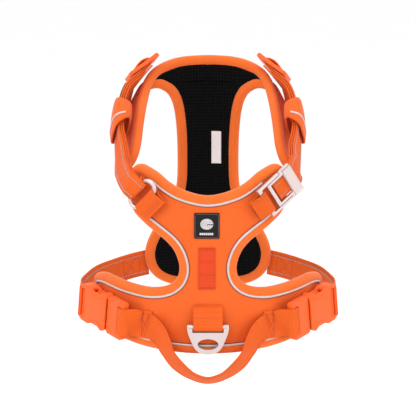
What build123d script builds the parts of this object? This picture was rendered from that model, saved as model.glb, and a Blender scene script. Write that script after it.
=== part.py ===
"""Padded no pull dog harness, closed and hanging as worn round an upright torso.

Millimetres. +Z points to the neck opening and -Y is the back (saddle) side. The origin is the centre
of the girth loop, on the axis of the torso.
"""
from build123d import *
import math
import os

os.makedirs("parts", exist_ok=True)

# ---------------------------------------------------------------- driving dimensions
GIRTH_A = 105.0             # half width of the girth ellipse, outer face of the saddle
GIRTH_B = 88.0              # half depth of the girth ellipse
NECK_A = 68.0               # half width of the chest ellipse at the neck end
NECK_B = 87.0               # half depth of the chest ellipse at the neck end
TAPER_LOW = 30.0            # height where the chest starts to taper
TAPER_HIGH = 110.0          # height where the taper ends
FORM_LOW = -60.0            # ends of the torso form that the panels are cut from
FORM_HIGH = 230.0

SHELL = 1.0                 # outer fabric
FOAM = 3.4                  # padding
LINING = 1.0                # air mesh
PANEL = SHELL + FOAM + LINING
PROUD = 0.6                 # how far a binding stands proud of the panel faces
BORDER_WIDTH = 7.8          # saddle border outside the piping
BINDING_WIDTH = 7.5         # chest binding
PIPING_WIDTH = 1.6
PIPING_HEIGHT = 1.4

WEB_WIDE = 25.0             # girth and handle webbing
WEB_NECK = 20.0             # neck webbing
WEB_THICK = 1.8
GAP = 0.4                   # clearance between bodies that move apart

SADDLE_LOW = -45.0
SADDLE_HIGH = 135.0
SADDLE_DEPTH = GIRTH_B + 8  # how deep a saddle outline is extruded
ELLIPSE_SIDES = 64
OUTLINE_STEPS = 14          # straight pieces that stand for one curve of an outline

# ---------------------------------------------------------------- helpers


def save(piece, label):
    """Name a finished piece and write it."""
    piece.label = label
    export_step(piece, f"parts/{label}.step")


def save_pair(piece, name):
    """Write a left piece and its mirror image on the right."""
    save(piece, f"left_{name}")
    with BuildPart() as other:
        mirror(objects=piece, about=Plane.YZ)
    save(other.part, f"right_{name}")


def frames(points, normals):
    """Planes across a strap: X across its width, Y outward, Z along it."""
    planes = []
    last = len(points) - 1
    for index, (point, normal) in enumerate(zip(points, normals)):
        before = Vector(*points[max(index - 1, 0)])
        after = Vector(*points[min(index + 1, last)])
        along = (after - before).normalized()
        across = Vector(*normal).cross(along).normalized()
        planes.append(Plane(origin=point, x_dir=across, z_dir=along))
    return planes


def ribbon(planes, width, thick, shift=0.0, out=0.0):
    """A strap of one section lofted through its planes."""
    with BuildPart() as strap_body:
        for plane in planes:
            with BuildSketch(plane):
                with Locations((shift, out)):
                    Rectangle(width, thick)
        loft(ruled=True)
    return strap_body.part


def radial(point):
    """Outward direction of the girth ellipse at a point."""
    return (point[0] / GIRTH_A ** 2, point[1] / GIRTH_B ** 2, 0)


def on_girth(degrees, height, out=0.0):
    """Point outside the girth ellipse on the left, angle measured from the middle of the back."""
    angle = math.radians(degrees)
    return (-(GIRTH_A + out) * math.sin(angle), -(GIRTH_B + out) * math.cos(angle), height)


def ring_points(half_width, half_depth):
    """Corners of a many-sided ellipse."""
    turns = [2 * math.pi * (step + 0.5) / ELLIPSE_SIDES for step in range(ELLIPSE_SIDES)]
    return [(half_width * math.cos(turn), half_depth * math.sin(turn)) for turn in turns]


def form(inset):
    """Solid torso the panels lie on, drawn in by inset: girth, taper and neck."""
    rings = [
        (FORM_LOW, GIRTH_A, GIRTH_B),
        (TAPER_LOW, GIRTH_A, GIRTH_B),
        (TAPER_HIGH, NECK_A, NECK_B),
        (FORM_HIGH, NECK_A, NECK_B),
    ]
    with BuildPart() as solid:
        for low, high in zip(rings[:-1], rings[1:]):
            for height, half_width, half_depth in (low, high):
                with BuildSketch(Plane.XY.offset(height)):
                    Polygon(*ring_points(half_width - inset, half_depth - inset), align=None)
            loft(ruled=True)
    return solid.part


def girth_wall(outer, inner):
    """Tube on the girth ellipse between two depths below the saddle's outer face."""
    with BuildPart() as wall:
        with BuildSketch(Plane.XY.offset(SADDLE_LOW)):
            Polygon(*ring_points(GIRTH_A - outer, GIRTH_B - outer), align=None)
            Polygon(*ring_points(GIRTH_A - inner, GIRTH_B - inner), align=None, mode=Mode.SUBTRACT)
        extrude(amount=SADDLE_HIGH - SADDLE_LOW)
    return wall.part


def on_saddle(sketch, outer, inner):
    """Piece of the saddle: an outline seen from the back, cut down to one layer."""
    with BuildPart() as piece:
        with BuildSketch(Plane.XZ):
            add(sketch)
        extrude(amount=SADDLE_DEPTH)
        add(girth_wall(outer, inner), mode=Mode.INTERSECT)
    return piece.part


# ---------------------------------------------------------------- saddle (back panel)


def symmetric_face(curves, inset):
    """Face bounded by half an outline, given as curves from top to bottom or back, and its mirror image."""
    corners = []
    for curve in curves:
        corners += [curve @ (step / OUTLINE_STEPS) for step in range(OUTLINE_STEPS)]
    corners.append(curves[-1] @ 1)
    half = [(corner.X, corner.Y) for corner in corners]
    other_half = [(-x, y) for x, y in reversed(half[1:-1])]
    with BuildSketch() as face:
        Polygon(*half, *other_half, align=None)
        if inset:
            offset(amount=-inset, kind=Kind.INTERSECTION, mode=Mode.REPLACE)
    return face.sketch


SADDLE_CURVES = [
    Spline((0, 103.5), (20, 107.5), (42, 121), (57, 128), tangents=[(1, 0), (1, 0.1)]),
    Spline((57, 128), (67, 117), (64, 86), tangents=[(1, 0.1), (-0.4, -1)]),
    Spline((64, 86), (44, 70), (27.5, 54.5), (24, 41)),
    Spline((24, 41), (34.5, 23.5), (50, 21), (86, 25.5), (98, 24)),
    Line((98, 24), (98, -22)),
    Spline((98, -22), (76, -28), (50, -32), (0, -34.3), tangents=[(-1, -0.2), (-1, 0)]),
]


def saddle_face(inset=0.0):
    """Outline of the saddle seen from the back, drawn in by inset."""
    return symmetric_face(SADDLE_CURVES, inset)


def saddle_rim(outer_inset, inner_inset):
    """Band that follows the saddle's edge between two insets."""
    with BuildSketch() as rim:
        add(saddle_face(outer_inset))
        add(saddle_face(inner_inset), mode=Mode.SUBTRACT)
    return rim.sketch


save(on_saddle(saddle_face(BORDER_WIDTH), 0, SHELL), "saddle_shell")
save(on_saddle(saddle_face(BORDER_WIDTH), SHELL, SHELL + FOAM), "saddle_foam")
save(on_saddle(saddle_face(BORDER_WIDTH), SHELL + FOAM, PANEL), "saddle_lining")
save(on_saddle(saddle_rim(0, BORDER_WIDTH), -PROUD, PANEL + PROUD), "saddle_border")

# the reflective piping covers the seam between shell and border, in four sewn lengths
PIPING_ZONES = {
    "neck_piping": ((0, 115), (96, 46)),
    "left_armhole_piping": ((-53, 42), (84, 68)),
    "right_armhole_piping": ((53, 42), (84, 68)),
    "hem_piping": ((0, -24), (180, 16)),
}
for piping_label, (zone_centre, zone_size) in PIPING_ZONES.items():
    with BuildSketch() as piping:
        add(saddle_rim(BORDER_WIDTH - PIPING_WIDTH / 2, BORDER_WIDTH + PIPING_WIDTH / 2))
        with Locations(zone_centre):
            Rectangle(*zone_size, mode=Mode.INTERSECT)
    save(on_saddle(piping.sketch, -PIPING_HEIGHT - PROUD, -PROUD), piping_label)

with BuildSketch() as patch_face:
    with Locations((-1, 77.5)):
        RectangleRounded(21.0, 22.0, 0.8)
save(on_saddle(patch_face.sketch, -1.0, 0), "front_patch")

with BuildSketch() as strip_face:
    with Locations((-1, 41)):
        Rectangle(14.0, 35.0)
save(on_saddle(strip_face.sketch, -1.4, 0), "light_loop_strip")

# ---------------------------------------------------------------- leash ring and its tab

RING_AXIS_Y = -93.4         # the ring's bar lies in front of the saddle
RING_AXIS_Z = -8.3
RING_WIRE = 2.0             # radius of the bar
TAB_SLEEVE = 4.2            # outer radius of the webbing fold round the bar
TAB_TOP = 9.5
TAB_BACK = GIRTH_B + 0.1    # the tab is sewn flat on the middle of the saddle

with BuildPart() as leash_tab:
    with BuildSketch(Plane.YZ):
        with Locations((RING_AXIS_Y, RING_AXIS_Z)):
            Circle(TAB_SLEEVE)
        with BuildLine():
            Polyline(
                (-TAB_BACK + 2, RING_AXIS_Z + 3),
                (-TAB_BACK + 2, TAB_TOP),
                (-TAB_BACK - 2.6, TAB_TOP),
                (RING_AXIS_Y - TAB_SLEEVE + 0.6, RING_AXIS_Z + 2.2),
                (RING_AXIS_Y, RING_AXIS_Z - 1),
                close=True,
            )
        make_face()
        with Locations((RING_AXIS_Y, RING_AXIS_Z)):
            Circle(RING_WIRE + GAP, mode=Mode.SUBTRACT)
    extrude(amount=WEB_WIDE / 2, both=True)
    with BuildSketch(Plane.XY.offset(SADDLE_LOW)):
        Ellipse(GIRTH_A, GIRTH_B)
    extrude(amount=SADDLE_HIGH - SADDLE_LOW, mode=Mode.SUBTRACT)
save(leash_tab.part, "leash_tab")

RING_HALF = 17.5            # half the outer width of the leash ring
RING_DROP = 24.2            # from the bar down to the bottom of the ring
RING_PLATE = 3.2            # thickness of the ring's plate
RING_SLOT = (WEB_WIDE + 1.6, 2 * TAB_SLEEVE + 1.4)
RING_EYE = (8.75, 4.75)     # half width and half height of the oval eye
RING_EYE_DROP = 15.3        # from the bar down to the middle of the eye
ring_back = Plane(origin=(0, RING_AXIS_Y + RING_PLATE / 2, RING_AXIS_Z), x_dir=(1, 0, 0), z_dir=(0, -1, 0))
with BuildPart() as leash_ring:
    with BuildSketch(ring_back):
        with BuildLine():
            Line((-RING_HALF, 2), (RING_HALF, 2))
            Spline((RING_HALF, 2), (14.6, -12), (0, -RING_DROP), tangents=[(0.2, -1), (-1, 0)])
            Spline((0, -RING_DROP), (-14.6, -12), (-RING_HALF, 2), tangents=[(-1, 0), (0.2, 1)])
        make_face()
        with Locations((0, -RING_EYE_DROP)):
            Ellipse(*RING_EYE, mode=Mode.SUBTRACT)
        Rectangle(*RING_SLOT, mode=Mode.SUBTRACT)
    extrude(amount=RING_PLATE)
    with BuildSketch(Plane.YZ.offset(-RING_HALF + 1.0)):
        with Locations((RING_AXIS_Y, RING_AXIS_Z)):
            Circle(RING_WIRE)
    extrude(amount=2 * RING_HALF - 2.0)
save(leash_ring.part, "leash_ring")

# ---------------------------------------------------------------- wing webbing and handle

WING_Z = -11.0              # height of the webbing on the wings
# angle round the girth and height above the saddle, from the sewn box to the buckle's slot
WING_PATH = [on_girth(30.0, WING_Z, 3.1), on_girth(34.5, WING_Z, 3.4), on_girth(37.3, -9.5, 7.5)]


def girth_strap_body(path, width, thick=WEB_THICK, out=0.0):
    """A strap whose face looks away from the torso axis."""
    return ribbon(frames(path, [radial(point) for point in path]), width, thick, out=out)


save_pair(girth_strap_body(WING_PATH, WEB_WIDE), "wing_webbing")

# half of the handle, from its left anchor to the middle of the loop, and its outward normals
HANDLE_HALF = [
    (-44, -88, -17),
    (-38.5, -91, -22),
    (-34, -93.5, -31),
    (-26, -96, -41.5),
    (-14, -97.5, -50.5),
    (0, -98, -54.5),
]
HANDLE_NORMALS = [
    (-0.5, -0.85, -0.2),
    (-0.6, -0.8, -0.35),
    (-0.6, -0.62, -0.5),
    (-0.38, -0.5, -0.8),
    (-0.15, -0.3, -1.0),
    (0, -0.25, -1.0),
]


def both_halves(points):
    """Continue a half path over the YZ plane."""
    return points + [(-x, y, z) for x, y, z in reversed(points[:-1])]


save(ribbon(frames(both_halves(HANDLE_HALF), both_halves(HANDLE_NORMALS)), 20.0, 2.4), "handle_strap")

# ---------------------------------------------------------------- chest panel

# neck edge and lower edge of the left shoulder arm, from the middle of the chest to the tip
ARM_NECK_EDGE = [
    (0, 87, 204.5),
    (-28, 80, 203),
    (-47, 68, 197),
    (-54, 55, 190),
    (-58, 38, 177),
    (-60, 25, 167),
    (-62, 8, 153),
    (-64, -10, 137),
    (-68, -24, 125),
]
ARM_LOWER_EDGE = [
    (0, 87, 180),
    (-29, 79, 178),
    (-54, 64, 176.5),
    (-70, 55, 164),
    (-78, 42, 149),
    (-81, 31, 139),
    (-83, 16, 125),
    (-81, 0, 111),
    (-76, -18, 110),
]


def arm_strip(start, end, outer, inner, stations=range(9)):
    """Strip of the left arm between two distances from its neck edge and two depths.

    A distance that is negative, or an end of 0, counts back from the lower edge.
    """
    with BuildPart() as strip:
        centres = [(Vector(*a) + Vector(*b)) * 0.5 for a, b in zip(ARM_NECK_EDGE, ARM_LOWER_EDGE)]
        last = len(centres) - 1
        for index in stations:
            upper = Vector(*ARM_NECK_EDGE[index])
            lower = Vector(*ARM_LOWER_EDGE[index])
            along = centres[min(index + 1, last)] - centres[max(index - 1, 0)]
            if index == 0:
                along = Vector(-1, 0, 0)
            along = along.normalized()
            width = (lower - upper).length
            across = (lower - upper) - along * (lower - upper).dot(along)
            far = width + end if end <= 0 else end
            near = width + start if start < 0 else start
            with BuildSketch(Plane(origin=upper, x_dir=across, z_dir=along)):
                with Locations(((near + far) / 2, (outer + inner) / 2)):
                    Rectangle(far - near, inner - outer)
        loft(ruled=True)
    return strip.part


PAD_CURVES = [
    Line((0, 182), (36, 182)),
    Spline((36, 182), (29.5, 125), (30, 82), tangents=[(-0.45, -1), (0, -1)]),
    Spline((30, 82), (48, 42), (61, 11), (40, -17), (0, -19), tangents=[(0, -1), (-1, 0)]),
]


def pad_face(inset=0.0):
    """Belly pad and sternum strip seen from the front, drawn in by inset."""
    return symmetric_face(PAD_CURVES, inset)


def on_chest(sketch, outer, inner):
    """Piece of the chest's middle: an outline seen from the front, cut down to one layer."""
    with BuildPart() as piece:
        with BuildSketch(Plane.XZ):
            add(sketch)
        extrude(amount=-NECK_B - 20)
        add(form(outer), mode=Mode.INTERSECT)
        add(form(inner), mode=Mode.SUBTRACT)
    return piece.part


def chest_layer(outer, inner):
    """One layer of the whole chest panel inside its binding."""
    with BuildSketch() as middle:
        add(pad_face(BINDING_WIDTH))
        with Locations((0, 180)):
            Rectangle(46, 16)
    with BuildPart() as layer:
        add(arm_strip(BINDING_WIDTH, -BINDING_WIDTH, outer, inner))
        mirror(about=Plane.YZ)
        add(on_chest(middle.sketch, outer, inner))
    return layer.part


save(chest_layer(0, SHELL), "chest_shell")
save(chest_layer(SHELL, SHELL + FOAM), "chest_foam")
save(chest_layer(SHELL + FOAM, PANEL), "chest_lining")

# the edge binding: one length round the neck edge, one under each arm, and one round the pad
MIDDLE_GAP = 23.0           # the arms' lower edge is open over the strip, this far each side
with BuildPart() as neck_binding:
    add(arm_strip(0, BINDING_WIDTH, -PROUD, PANEL + PROUD))
    mirror(about=Plane.YZ)
save(neck_binding.part, "chest_neck_binding")

with BuildPart() as arm_binding:
    add(arm_strip(-BINDING_WIDTH, 0, -PROUD, PANEL + PROUD))
    with BuildSketch(Plane.YZ):
        with Locations((NECK_B - 4, 181)):
            Rectangle(30, 18)
    extrude(amount=MIDDLE_GAP, both=True, mode=Mode.SUBTRACT)
    with BuildSketch(Plane.XZ):
        add(pad_face())
    extrude(amount=-NECK_B - 20, mode=Mode.SUBTRACT)
save_pair(arm_binding.part, "arm_binding")

with BuildSketch() as pad_rim:
    add(pad_face())
    add(pad_face(BINDING_WIDTH), mode=Mode.SUBTRACT)
    with Locations((0, 186)):
        Rectangle(2 * MIDDLE_GAP, 24, mode=Mode.SUBTRACT)
save(on_chest(pad_rim.sketch, -PROUD, PANEL + PROUD), "chest_pad_binding")

# the loop for a front leash, sewn on the outer face of the chest above the strip
FRONT_LOOP = [(88.3, 194), (93, 193), (97, 189), (98, 181), (97, 173), (93, 169), (88.3, 168)]
FRONT_LOOP_THICK = 1.9
with BuildPart() as front_leash_loop:
    with BuildSketch(Plane.YZ):
        with BuildLine() as loop_line:
            Spline(*FRONT_LOOP)
        trace(lines=loop_line.line, line_width=FRONT_LOOP_THICK)
        with Locations((NECK_B - 6.8, 181)):
            Rectangle(16, 60, mode=Mode.SUBTRACT)
    extrude(amount=WEB_WIDE / 2, both=True)
save(front_leash_loop.part, "front_leash_loop")

with BuildSketch() as label_face:
    with Locations((8, 117)):
        Rectangle(11.0, 32.0)
save(on_chest(label_face.sketch, PANEL, PANEL + 0.5), "care_label")

# ---------------------------------------------------------------- girth straps and side release buckles

# angle round the girth, height and distance off the girth ellipse, from the buckle to the belly pad
GIRTH_STRAP = [
    (71.0, 0.6, 12.8),
    (80.0, 0.6, 10.4),
    (95.0, 0.0, 6.2),
    (110.0, 1.0, 5.0),
    (125.0, 2.0, 3.6),
    (137.0, 4.0, 2.2),
    (147.0, 5.5, 1.7),
]
girth_path = [on_girth(degrees, height, out) for degrees, height, out in GIRTH_STRAP]
save_pair(girth_strap_body(girth_path, WEB_WIDE), "girth_strap")

BUCKLE_CENTRE = (-91, -58.5, -4)
BUCKLE_ALONG = (-0.657, 0.741, 0.139)   # from the plug to the socket
BUCKLE_OUT = (-0.748, -0.663, 0)
SOCKET_MOUTH = -8.0
SOCKET_END = 30.0
SOCKET_HALF = 17.0
SOCKET_THICK = 10.4
CAVITY_END = 21.0
CAVITY_HALF = 13.2
CAVITY_THICK = 6.0
STRAP_SLOT = (3.2, WEB_WIDE + 0.8)
PLUG_START = -30.0
PLUG_END = -8.6
PLUG_THICK = 6.5
TONGUE_THICK = 4.6
PRONG_PIVOT = (-6.0, 10.0)
PRONG_WIDE = 3.8


def buckle_plane(height=0.0):
    """Plane of the left buckle: X from plug to socket, Z away from the torso."""
    return Plane(origin=BUCKLE_CENTRE, x_dir=BUCKLE_ALONG, z_dir=BUCKLE_OUT).offset(height)


with BuildPart() as socket:
    with BuildSketch(buckle_plane(-SOCKET_THICK / 2)):
        with BuildLine():
            Polyline(
                (SOCKET_MOUTH, SOCKET_HALF - 2),
                (SOCKET_MOUTH + 5, SOCKET_HALF + 0.5),
                (SOCKET_MOUTH + 10, SOCKET_HALF - 2),
                (SOCKET_MOUTH + 18, SOCKET_HALF - 2),
                (SOCKET_MOUTH + 24, SOCKET_HALF + 0.5),
                (SOCKET_END - 5, SOCKET_HALF),
                (SOCKET_END, SOCKET_HALF - 3),
                (SOCKET_END, 0),
                (SOCKET_MOUTH, 0),
                close=True,
            )
        make_face()
        mirror(about=Plane.XZ)
    extrude(amount=SOCKET_THICK)
    with BuildSketch(buckle_plane(-CAVITY_THICK / 2)):
        with Locations(((SOCKET_MOUTH + CAVITY_END) / 2 - 1, 0)):
            Rectangle(CAVITY_END - SOCKET_MOUTH + 2, 2 * CAVITY_HALF)
        with Locations((6.2, 0)):
            Rectangle(14.0, 2 * SOCKET_HALF + 4)
    extrude(amount=CAVITY_THICK, mode=Mode.SUBTRACT)
    with BuildSketch(buckle_plane(-SOCKET_THICK)):
        with Locations((SOCKET_END - 4.6, 0)):
            Rectangle(*STRAP_SLOT)
    extrude(amount=2 * SOCKET_THICK, mode=Mode.SUBTRACT)
save_pair(socket.part, "buckle_socket")

with BuildPart() as plug:
    with BuildSketch(buckle_plane(-PLUG_THICK / 2)):
        with Locations(((PLUG_START + PLUG_END) / 2, 0)):
            RectangleRounded(PLUG_END - PLUG_START, 2 * SOCKET_HALF, 2.5)
        with Locations((PLUG_START + 6.0, 0)):
            Rectangle(*STRAP_SLOT, mode=Mode.SUBTRACT)
    extrude(amount=PLUG_THICK)
    with BuildSketch(buckle_plane(-TONGUE_THICK / 2)):
        with Locations(((PLUG_END + 16.0) / 2 - 0.5, 0)):
            Rectangle(16.0 - PLUG_END + 1.0, 7.0)
    extrude(amount=TONGUE_THICK)
save_pair(plug.part, "buckle_plug")

for prong_name, prong_side in (("upper_prong", -1), ("lower_prong", 1)):
    with BuildPart() as prong:
        with BuildSketch(buckle_plane(-TONGUE_THICK / 2)):
            with Locations((PRONG_PIVOT[0], prong_side * PRONG_PIVOT[1])):
                Circle(PRONG_WIDE / 2)
            with BuildLine():
                Polyline(
                    (PRONG_PIVOT[0], prong_side * (PRONG_PIVOT[1] - PRONG_WIDE / 2)),
                    (PRONG_PIVOT[0], prong_side * (PRONG_PIVOT[1] + PRONG_WIDE / 2)),
                    (-0.2, prong_side * (PRONG_PIVOT[1] + PRONG_WIDE / 2)),
                    (-0.2, prong_side * (SOCKET_HALF - 0.8)),
                    (7, prong_side * (SOCKET_HALF - 1.2)),
                    (12.4, prong_side * (CAVITY_HALF - 0.6)),
                    (13.4, prong_side * (PRONG_PIVOT[1] - PRONG_WIDE / 2)),
                    close=True,
                )
            make_face()
        extrude(amount=TONGUE_THICK)
    save_pair(prong.part, f"buckle_{prong_name}")

# ---------------------------------------------------------------- neck straps, keepers and adjusters

# middle of the left neck strap from its adjuster down, and its outward directions
NECK_PATH = [
    (-64.6, 49.7, 188.8),
    (-75.5, 32, 178),
    (-80, 16, 165),
    (-81, 2, 152),
    (-80, -12, 141.5),
    (-77.5, -28, 130.5),
]
NECK_OUT = [
    (-0.75, 0.1, 0.65),
    (-0.9, 0.1, 0.4),
    (-0.97, 0, 0.25),
    (-1, -0.1, 0.12),
    (-0.95, -0.2, 0.15),
    (-0.88, -0.3, 0.25),
]
# the left strap goes on to the neck ring and the right one to the buckle, both given on the left
RING_END = [(-75.5, -45, 121.5), (-73.8, -60, 116.8), (-68.2, -75.2, 112.4)]
RING_END_OUT = [(-0.8, -0.4, 0.35), (-0.7, -0.5, 0.4), (-0.6, -0.7, 0.3)]
LATCH_SIDE_END = [(-76.5, -45, 124.5), (-76.3, -57, 122.5), (-75.9, -68.0, 120.2)]
LATCH_SIDE_OUT = [(-0.8, -0.5, 0), (-0.65, -0.75, 0), (-0.52, -0.854, 0)]
NECK_STRAP_THICK = 2.2
neck_planes = frames(NECK_PATH, NECK_OUT)
ring_strap_planes = frames(NECK_PATH + RING_END, NECK_OUT + RING_END_OUT)
save(ribbon(ring_strap_planes, WEB_NECK, NECK_STRAP_THICK), "left_neck_strap")
latch_strap_planes = frames(NECK_PATH + LATCH_SIDE_END, NECK_OUT + LATCH_SIDE_OUT)
with BuildPart() as right_neck_strap:
    mirror(objects=ribbon(latch_strap_planes, WEB_NECK, NECK_STRAP_THICK), about=Plane.YZ)
save(right_neck_strap.part, "right_neck_strap")

# the keeper is a fabric sleeve that holds the strap against the arm
KEEPER_PLANES = neck_planes[2:5]
KEEPER_WIDE = 26.0
KEEPER_DEEP = 16.0
KEEPER_WALL = 1.6
KEEPER_SHIFT = -3.6
with BuildPart() as keeper:
    add(ribbon(KEEPER_PLANES, KEEPER_WIDE, KEEPER_DEEP, out=KEEPER_SHIFT))
    add(
        ribbon(KEEPER_PLANES, KEEPER_WIDE - 2 * KEEPER_WALL, KEEPER_DEEP - 2 * KEEPER_WALL, out=KEEPER_SHIFT),
        mode=Mode.SUBTRACT,
    )
    add(arm_strip(0, 0, -PROUD - 0.1, PANEL + PROUD + 0.1), mode=Mode.SUBTRACT)
save_pair(keeper.part, "keeper")

TAPE_LONG = 3.0
middle_keeper = KEEPER_PLANES[1]
with BuildPart() as keeper_tape:
    with BuildSketch(middle_keeper.offset(-TAPE_LONG / 2)):
        with Locations((0, KEEPER_SHIFT + KEEPER_DEEP / 2 - 3)):
            Rectangle(KEEPER_WIDE + 1.2, 7.4)
        with Locations((0, KEEPER_SHIFT)):
            Rectangle(KEEPER_WIDE + 0.4, KEEPER_DEEP + 0.4, mode=Mode.SUBTRACT)
    extrude(amount=TAPE_LONG)
save_pair(keeper_tape.part, "keeper_tape")

# the adjuster is a curved three bar slider on the strap, lying above the arm
ADJUSTER_LONG = 34.0
ADJUSTER_WIDE = 28.0
ADJUSTER_THICK = 3.2
ADJUSTER_SLOT = (WEB_NECK + 1.0, 6.0)
ADJUSTER_CENTRE = (-61, 57, 195.5)
ADJUSTER_ALONG = Vector(0.74, 0.42, 0.52)   # up the strap
ADJUSTER_OUT = Vector(-0.62, 0.15, 0.77)
adjuster_plane = Plane(origin=ADJUSTER_CENTRE, x_dir=ADJUSTER_ALONG.cross(ADJUSTER_OUT), z_dir=ADJUSTER_OUT)
with BuildPart() as adjuster:
    with BuildSketch(adjuster_plane.offset(-ADJUSTER_THICK / 2)):
        RectangleRounded(ADJUSTER_WIDE, ADJUSTER_LONG, 4.0)
        with Locations((0, 7.6), (0, -7.6)):
            Rectangle(*ADJUSTER_SLOT, mode=Mode.SUBTRACT)
    extrude(amount=ADJUSTER_THICK)
save_pair(adjuster.part, "neck_adjuster")

# the short strap sewn on the arm that the adjuster hangs on
save_pair(arm_strip(7.0, 27.0, -2.9, -1.1, stations=range(3, 6)), "neck_anchor_strap")

with BuildPart() as side_label:
    with BuildSketch(neck_planes[1].offset(4)):
        with Locations((0, 1.9)):
            Rectangle(16.0, 0.8)
    extrude(amount=9.0)
save(side_label.part, "side_label")

# ---------------------------------------------------------------- left neck ring and its tab

NECK_RING_CENTRE = (-55.2, -82.2, 104.0)
NECK_RING_ALONG = (0.632, -0.343, 0.695)    # along the slit, towards the neck
NECK_RING_OUT = (-0.477, -0.879, 0)
NECK_RING_LONG = 32.0
NECK_RING_PITCH = 12.6      # between the middles of its two bars
NECK_RING_WIRE = 1.9
SLEEVE = NECK_RING_WIRE + GAP
SLEEVE_WALL = 1.6
NECK_TAB_TAIL = 12.5        # webbing beyond the bar, on the saddle
STRAP_FOLD_TAIL = 6.0

neck_ring_plane = Plane(origin=NECK_RING_CENTRE, x_dir=NECK_RING_ALONG, z_dir=NECK_RING_OUT)
with BuildPart() as neck_ring:
    with BuildLine(neck_ring_plane) as ring_line:
        half_straight = (NECK_RING_LONG - 2 * NECK_RING_WIRE - NECK_RING_PITCH) / 2
        half_pitch = NECK_RING_PITCH / 2
        Line((-half_straight, half_pitch), (half_straight, half_pitch))
        ThreePointArc((half_straight, half_pitch), (half_straight + half_pitch, 0), (half_straight, -half_pitch))
        Line((half_straight, -half_pitch), (-half_straight, -half_pitch))
        ThreePointArc((-half_straight, -half_pitch), (-half_straight - half_pitch, 0), (-half_straight, half_pitch))
    ring_start = ring_line.wire() @ 0
    with BuildSketch(Plane(origin=ring_start, x_dir=NECK_RING_OUT, z_dir=ring_line.wire() % 0)):
        Circle(NECK_RING_WIRE)
    sweep(path=ring_line.wire())
save(neck_ring.part, "neck_ring")


def rectangle_between(low_x, high_x, low_y, high_y, mode=Mode.ADD):
    """Rectangle given by its sides, in the sketch that is open."""
    with Locations(((low_x + high_x) / 2, (low_y + high_y) / 2)):
        Rectangle(high_x - low_x, high_y - low_y, mode=mode)


def bar_fold(side, tail):
    """Webbing folded round one bar of the neck ring, with a tail that leads away from the ring."""
    half = WEB_NECK / 2 - 0.5
    outer = SLEEVE + SLEEVE_WALL
    bar = side * NECK_RING_PITCH / 2
    fold_plane = Plane(
        origin=neck_ring_plane.from_local_coords((-half, bar, 0)),
        x_dir=neck_ring_plane.y_dir * side,
        z_dir=neck_ring_plane.x_dir,
    )
    inward = -1 if fold_plane.y_dir.dot(neck_ring_plane.z_dir) > 0 else 1
    with BuildPart() as fold:
        with BuildSketch(fold_plane):
            Circle(outer)
            low, high = sorted((inward * outer, inward * (outer - NECK_STRAP_THICK)))
            rectangle_between(0, tail, low, high)
            Circle(SLEEVE, mode=Mode.SUBTRACT)
        extrude(amount=2 * half)
    return fold.part


# the ring's local Y points up along the strap or down along the tab
strap_side = 1 if neck_ring_plane.y_dir.Z > 0 else -1
save(bar_fold(-strap_side, NECK_TAB_TAIL), "left_neck_tab")
save(bar_fold(strap_side, STRAP_FOLD_TAIL), "left_strap_fold")

# ---------------------------------------------------------------- right neck buckle

NECK_BUCKLE_CENTRE = (60.5, -78.2, 107)
NECK_BUCKLE_ALONG = (0.70, 0.426, 0.574)    # from the tab to the strap
NECK_BUCKLE_OUT = (0.52, -0.854, 0)
RAIL_INNER = 12.0
RAIL_OUTER = 14.2
BUCKLE_BACK = -18.5
RAIL_END = 6.0
METAL_THICK = 3.6
LATCH_START = -9.0
LATCH_END = 18.5
LATCH_BAR = 3.6
WINDOW_END = 9.0
WINDOW_HALF = 9.4


def neck_buckle_plane(height=0.0):
    """Plane of the neck buckle: X from the tab to the strap, Z away from the torso."""
    base = Plane(origin=NECK_BUCKLE_CENTRE, x_dir=NECK_BUCKLE_ALONG, z_dir=NECK_BUCKLE_OUT)
    return base.offset(height)


with BuildPart() as neck_receiver:
    with BuildSketch(neck_buckle_plane(-METAL_THICK / 2)):
        rectangle_between(BUCKLE_BACK, RAIL_END, -RAIL_OUTER, RAIL_OUTER)
        rectangle_between(BUCKLE_BACK + 4.0, RAIL_END + 1, -RAIL_INNER, RAIL_INNER, Mode.SUBTRACT)
    extrude(amount=METAL_THICK)
save(neck_receiver.part, "neck_buckle_receiver")

with BuildPart() as neck_latch:
    with BuildSketch(neck_buckle_plane(-METAL_THICK / 2)):
        rectangle_between(LATCH_START, RAIL_END + GAP, -RAIL_INNER + GAP, RAIL_INNER - GAP)
        rectangle_between(RAIL_END + GAP, LATCH_END, -RAIL_OUTER, RAIL_OUTER)
        rectangle_between(LATCH_START + LATCH_BAR, WINDOW_END, -WINDOW_HALF, WINDOW_HALF, Mode.SUBTRACT)
        rectangle_between(LATCH_END - 5.4, LATCH_END - 2.6, -WEB_NECK / 2 - 0.6, WEB_NECK / 2 + 0.6, Mode.SUBTRACT)
    extrude(amount=METAL_THICK)
save(neck_latch.part, "neck_buckle_latch")

# the tab folds round the receiver's bar and is sewn under the saddle's curved seam
TAB_FOLD = 1.7
TAB_TAIL = 11.0
bar_low = BUCKLE_BACK - GAP
bar_high = BUCKLE_BACK + 4.0 + GAP
bar_half = METAL_THICK / 2 + GAP
tab_side = neck_buckle_plane()
tab_plane = Plane(
    origin=tab_side.from_local_coords((0, WEB_NECK / 2 - 0.5, 0)),
    x_dir=tab_side.x_dir,
    z_dir=tab_side.y_dir * -1,
)
with BuildPart() as right_neck_tab:
    with BuildSketch(tab_plane):
        rectangle_between(bar_low - TAB_FOLD, bar_high + TAB_FOLD, -bar_half - TAB_FOLD, bar_half + TAB_FOLD)
        rectangle_between(bar_low - TAB_TAIL, bar_low, -bar_half - TAB_FOLD, -bar_half + 0.5)
        rectangle_between(bar_low, bar_high, -bar_half, bar_half, Mode.SUBTRACT)
    extrude(amount=WEB_NECK - 1.0)
save(right_neck_tab.part, "right_neck_tab")
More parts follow.
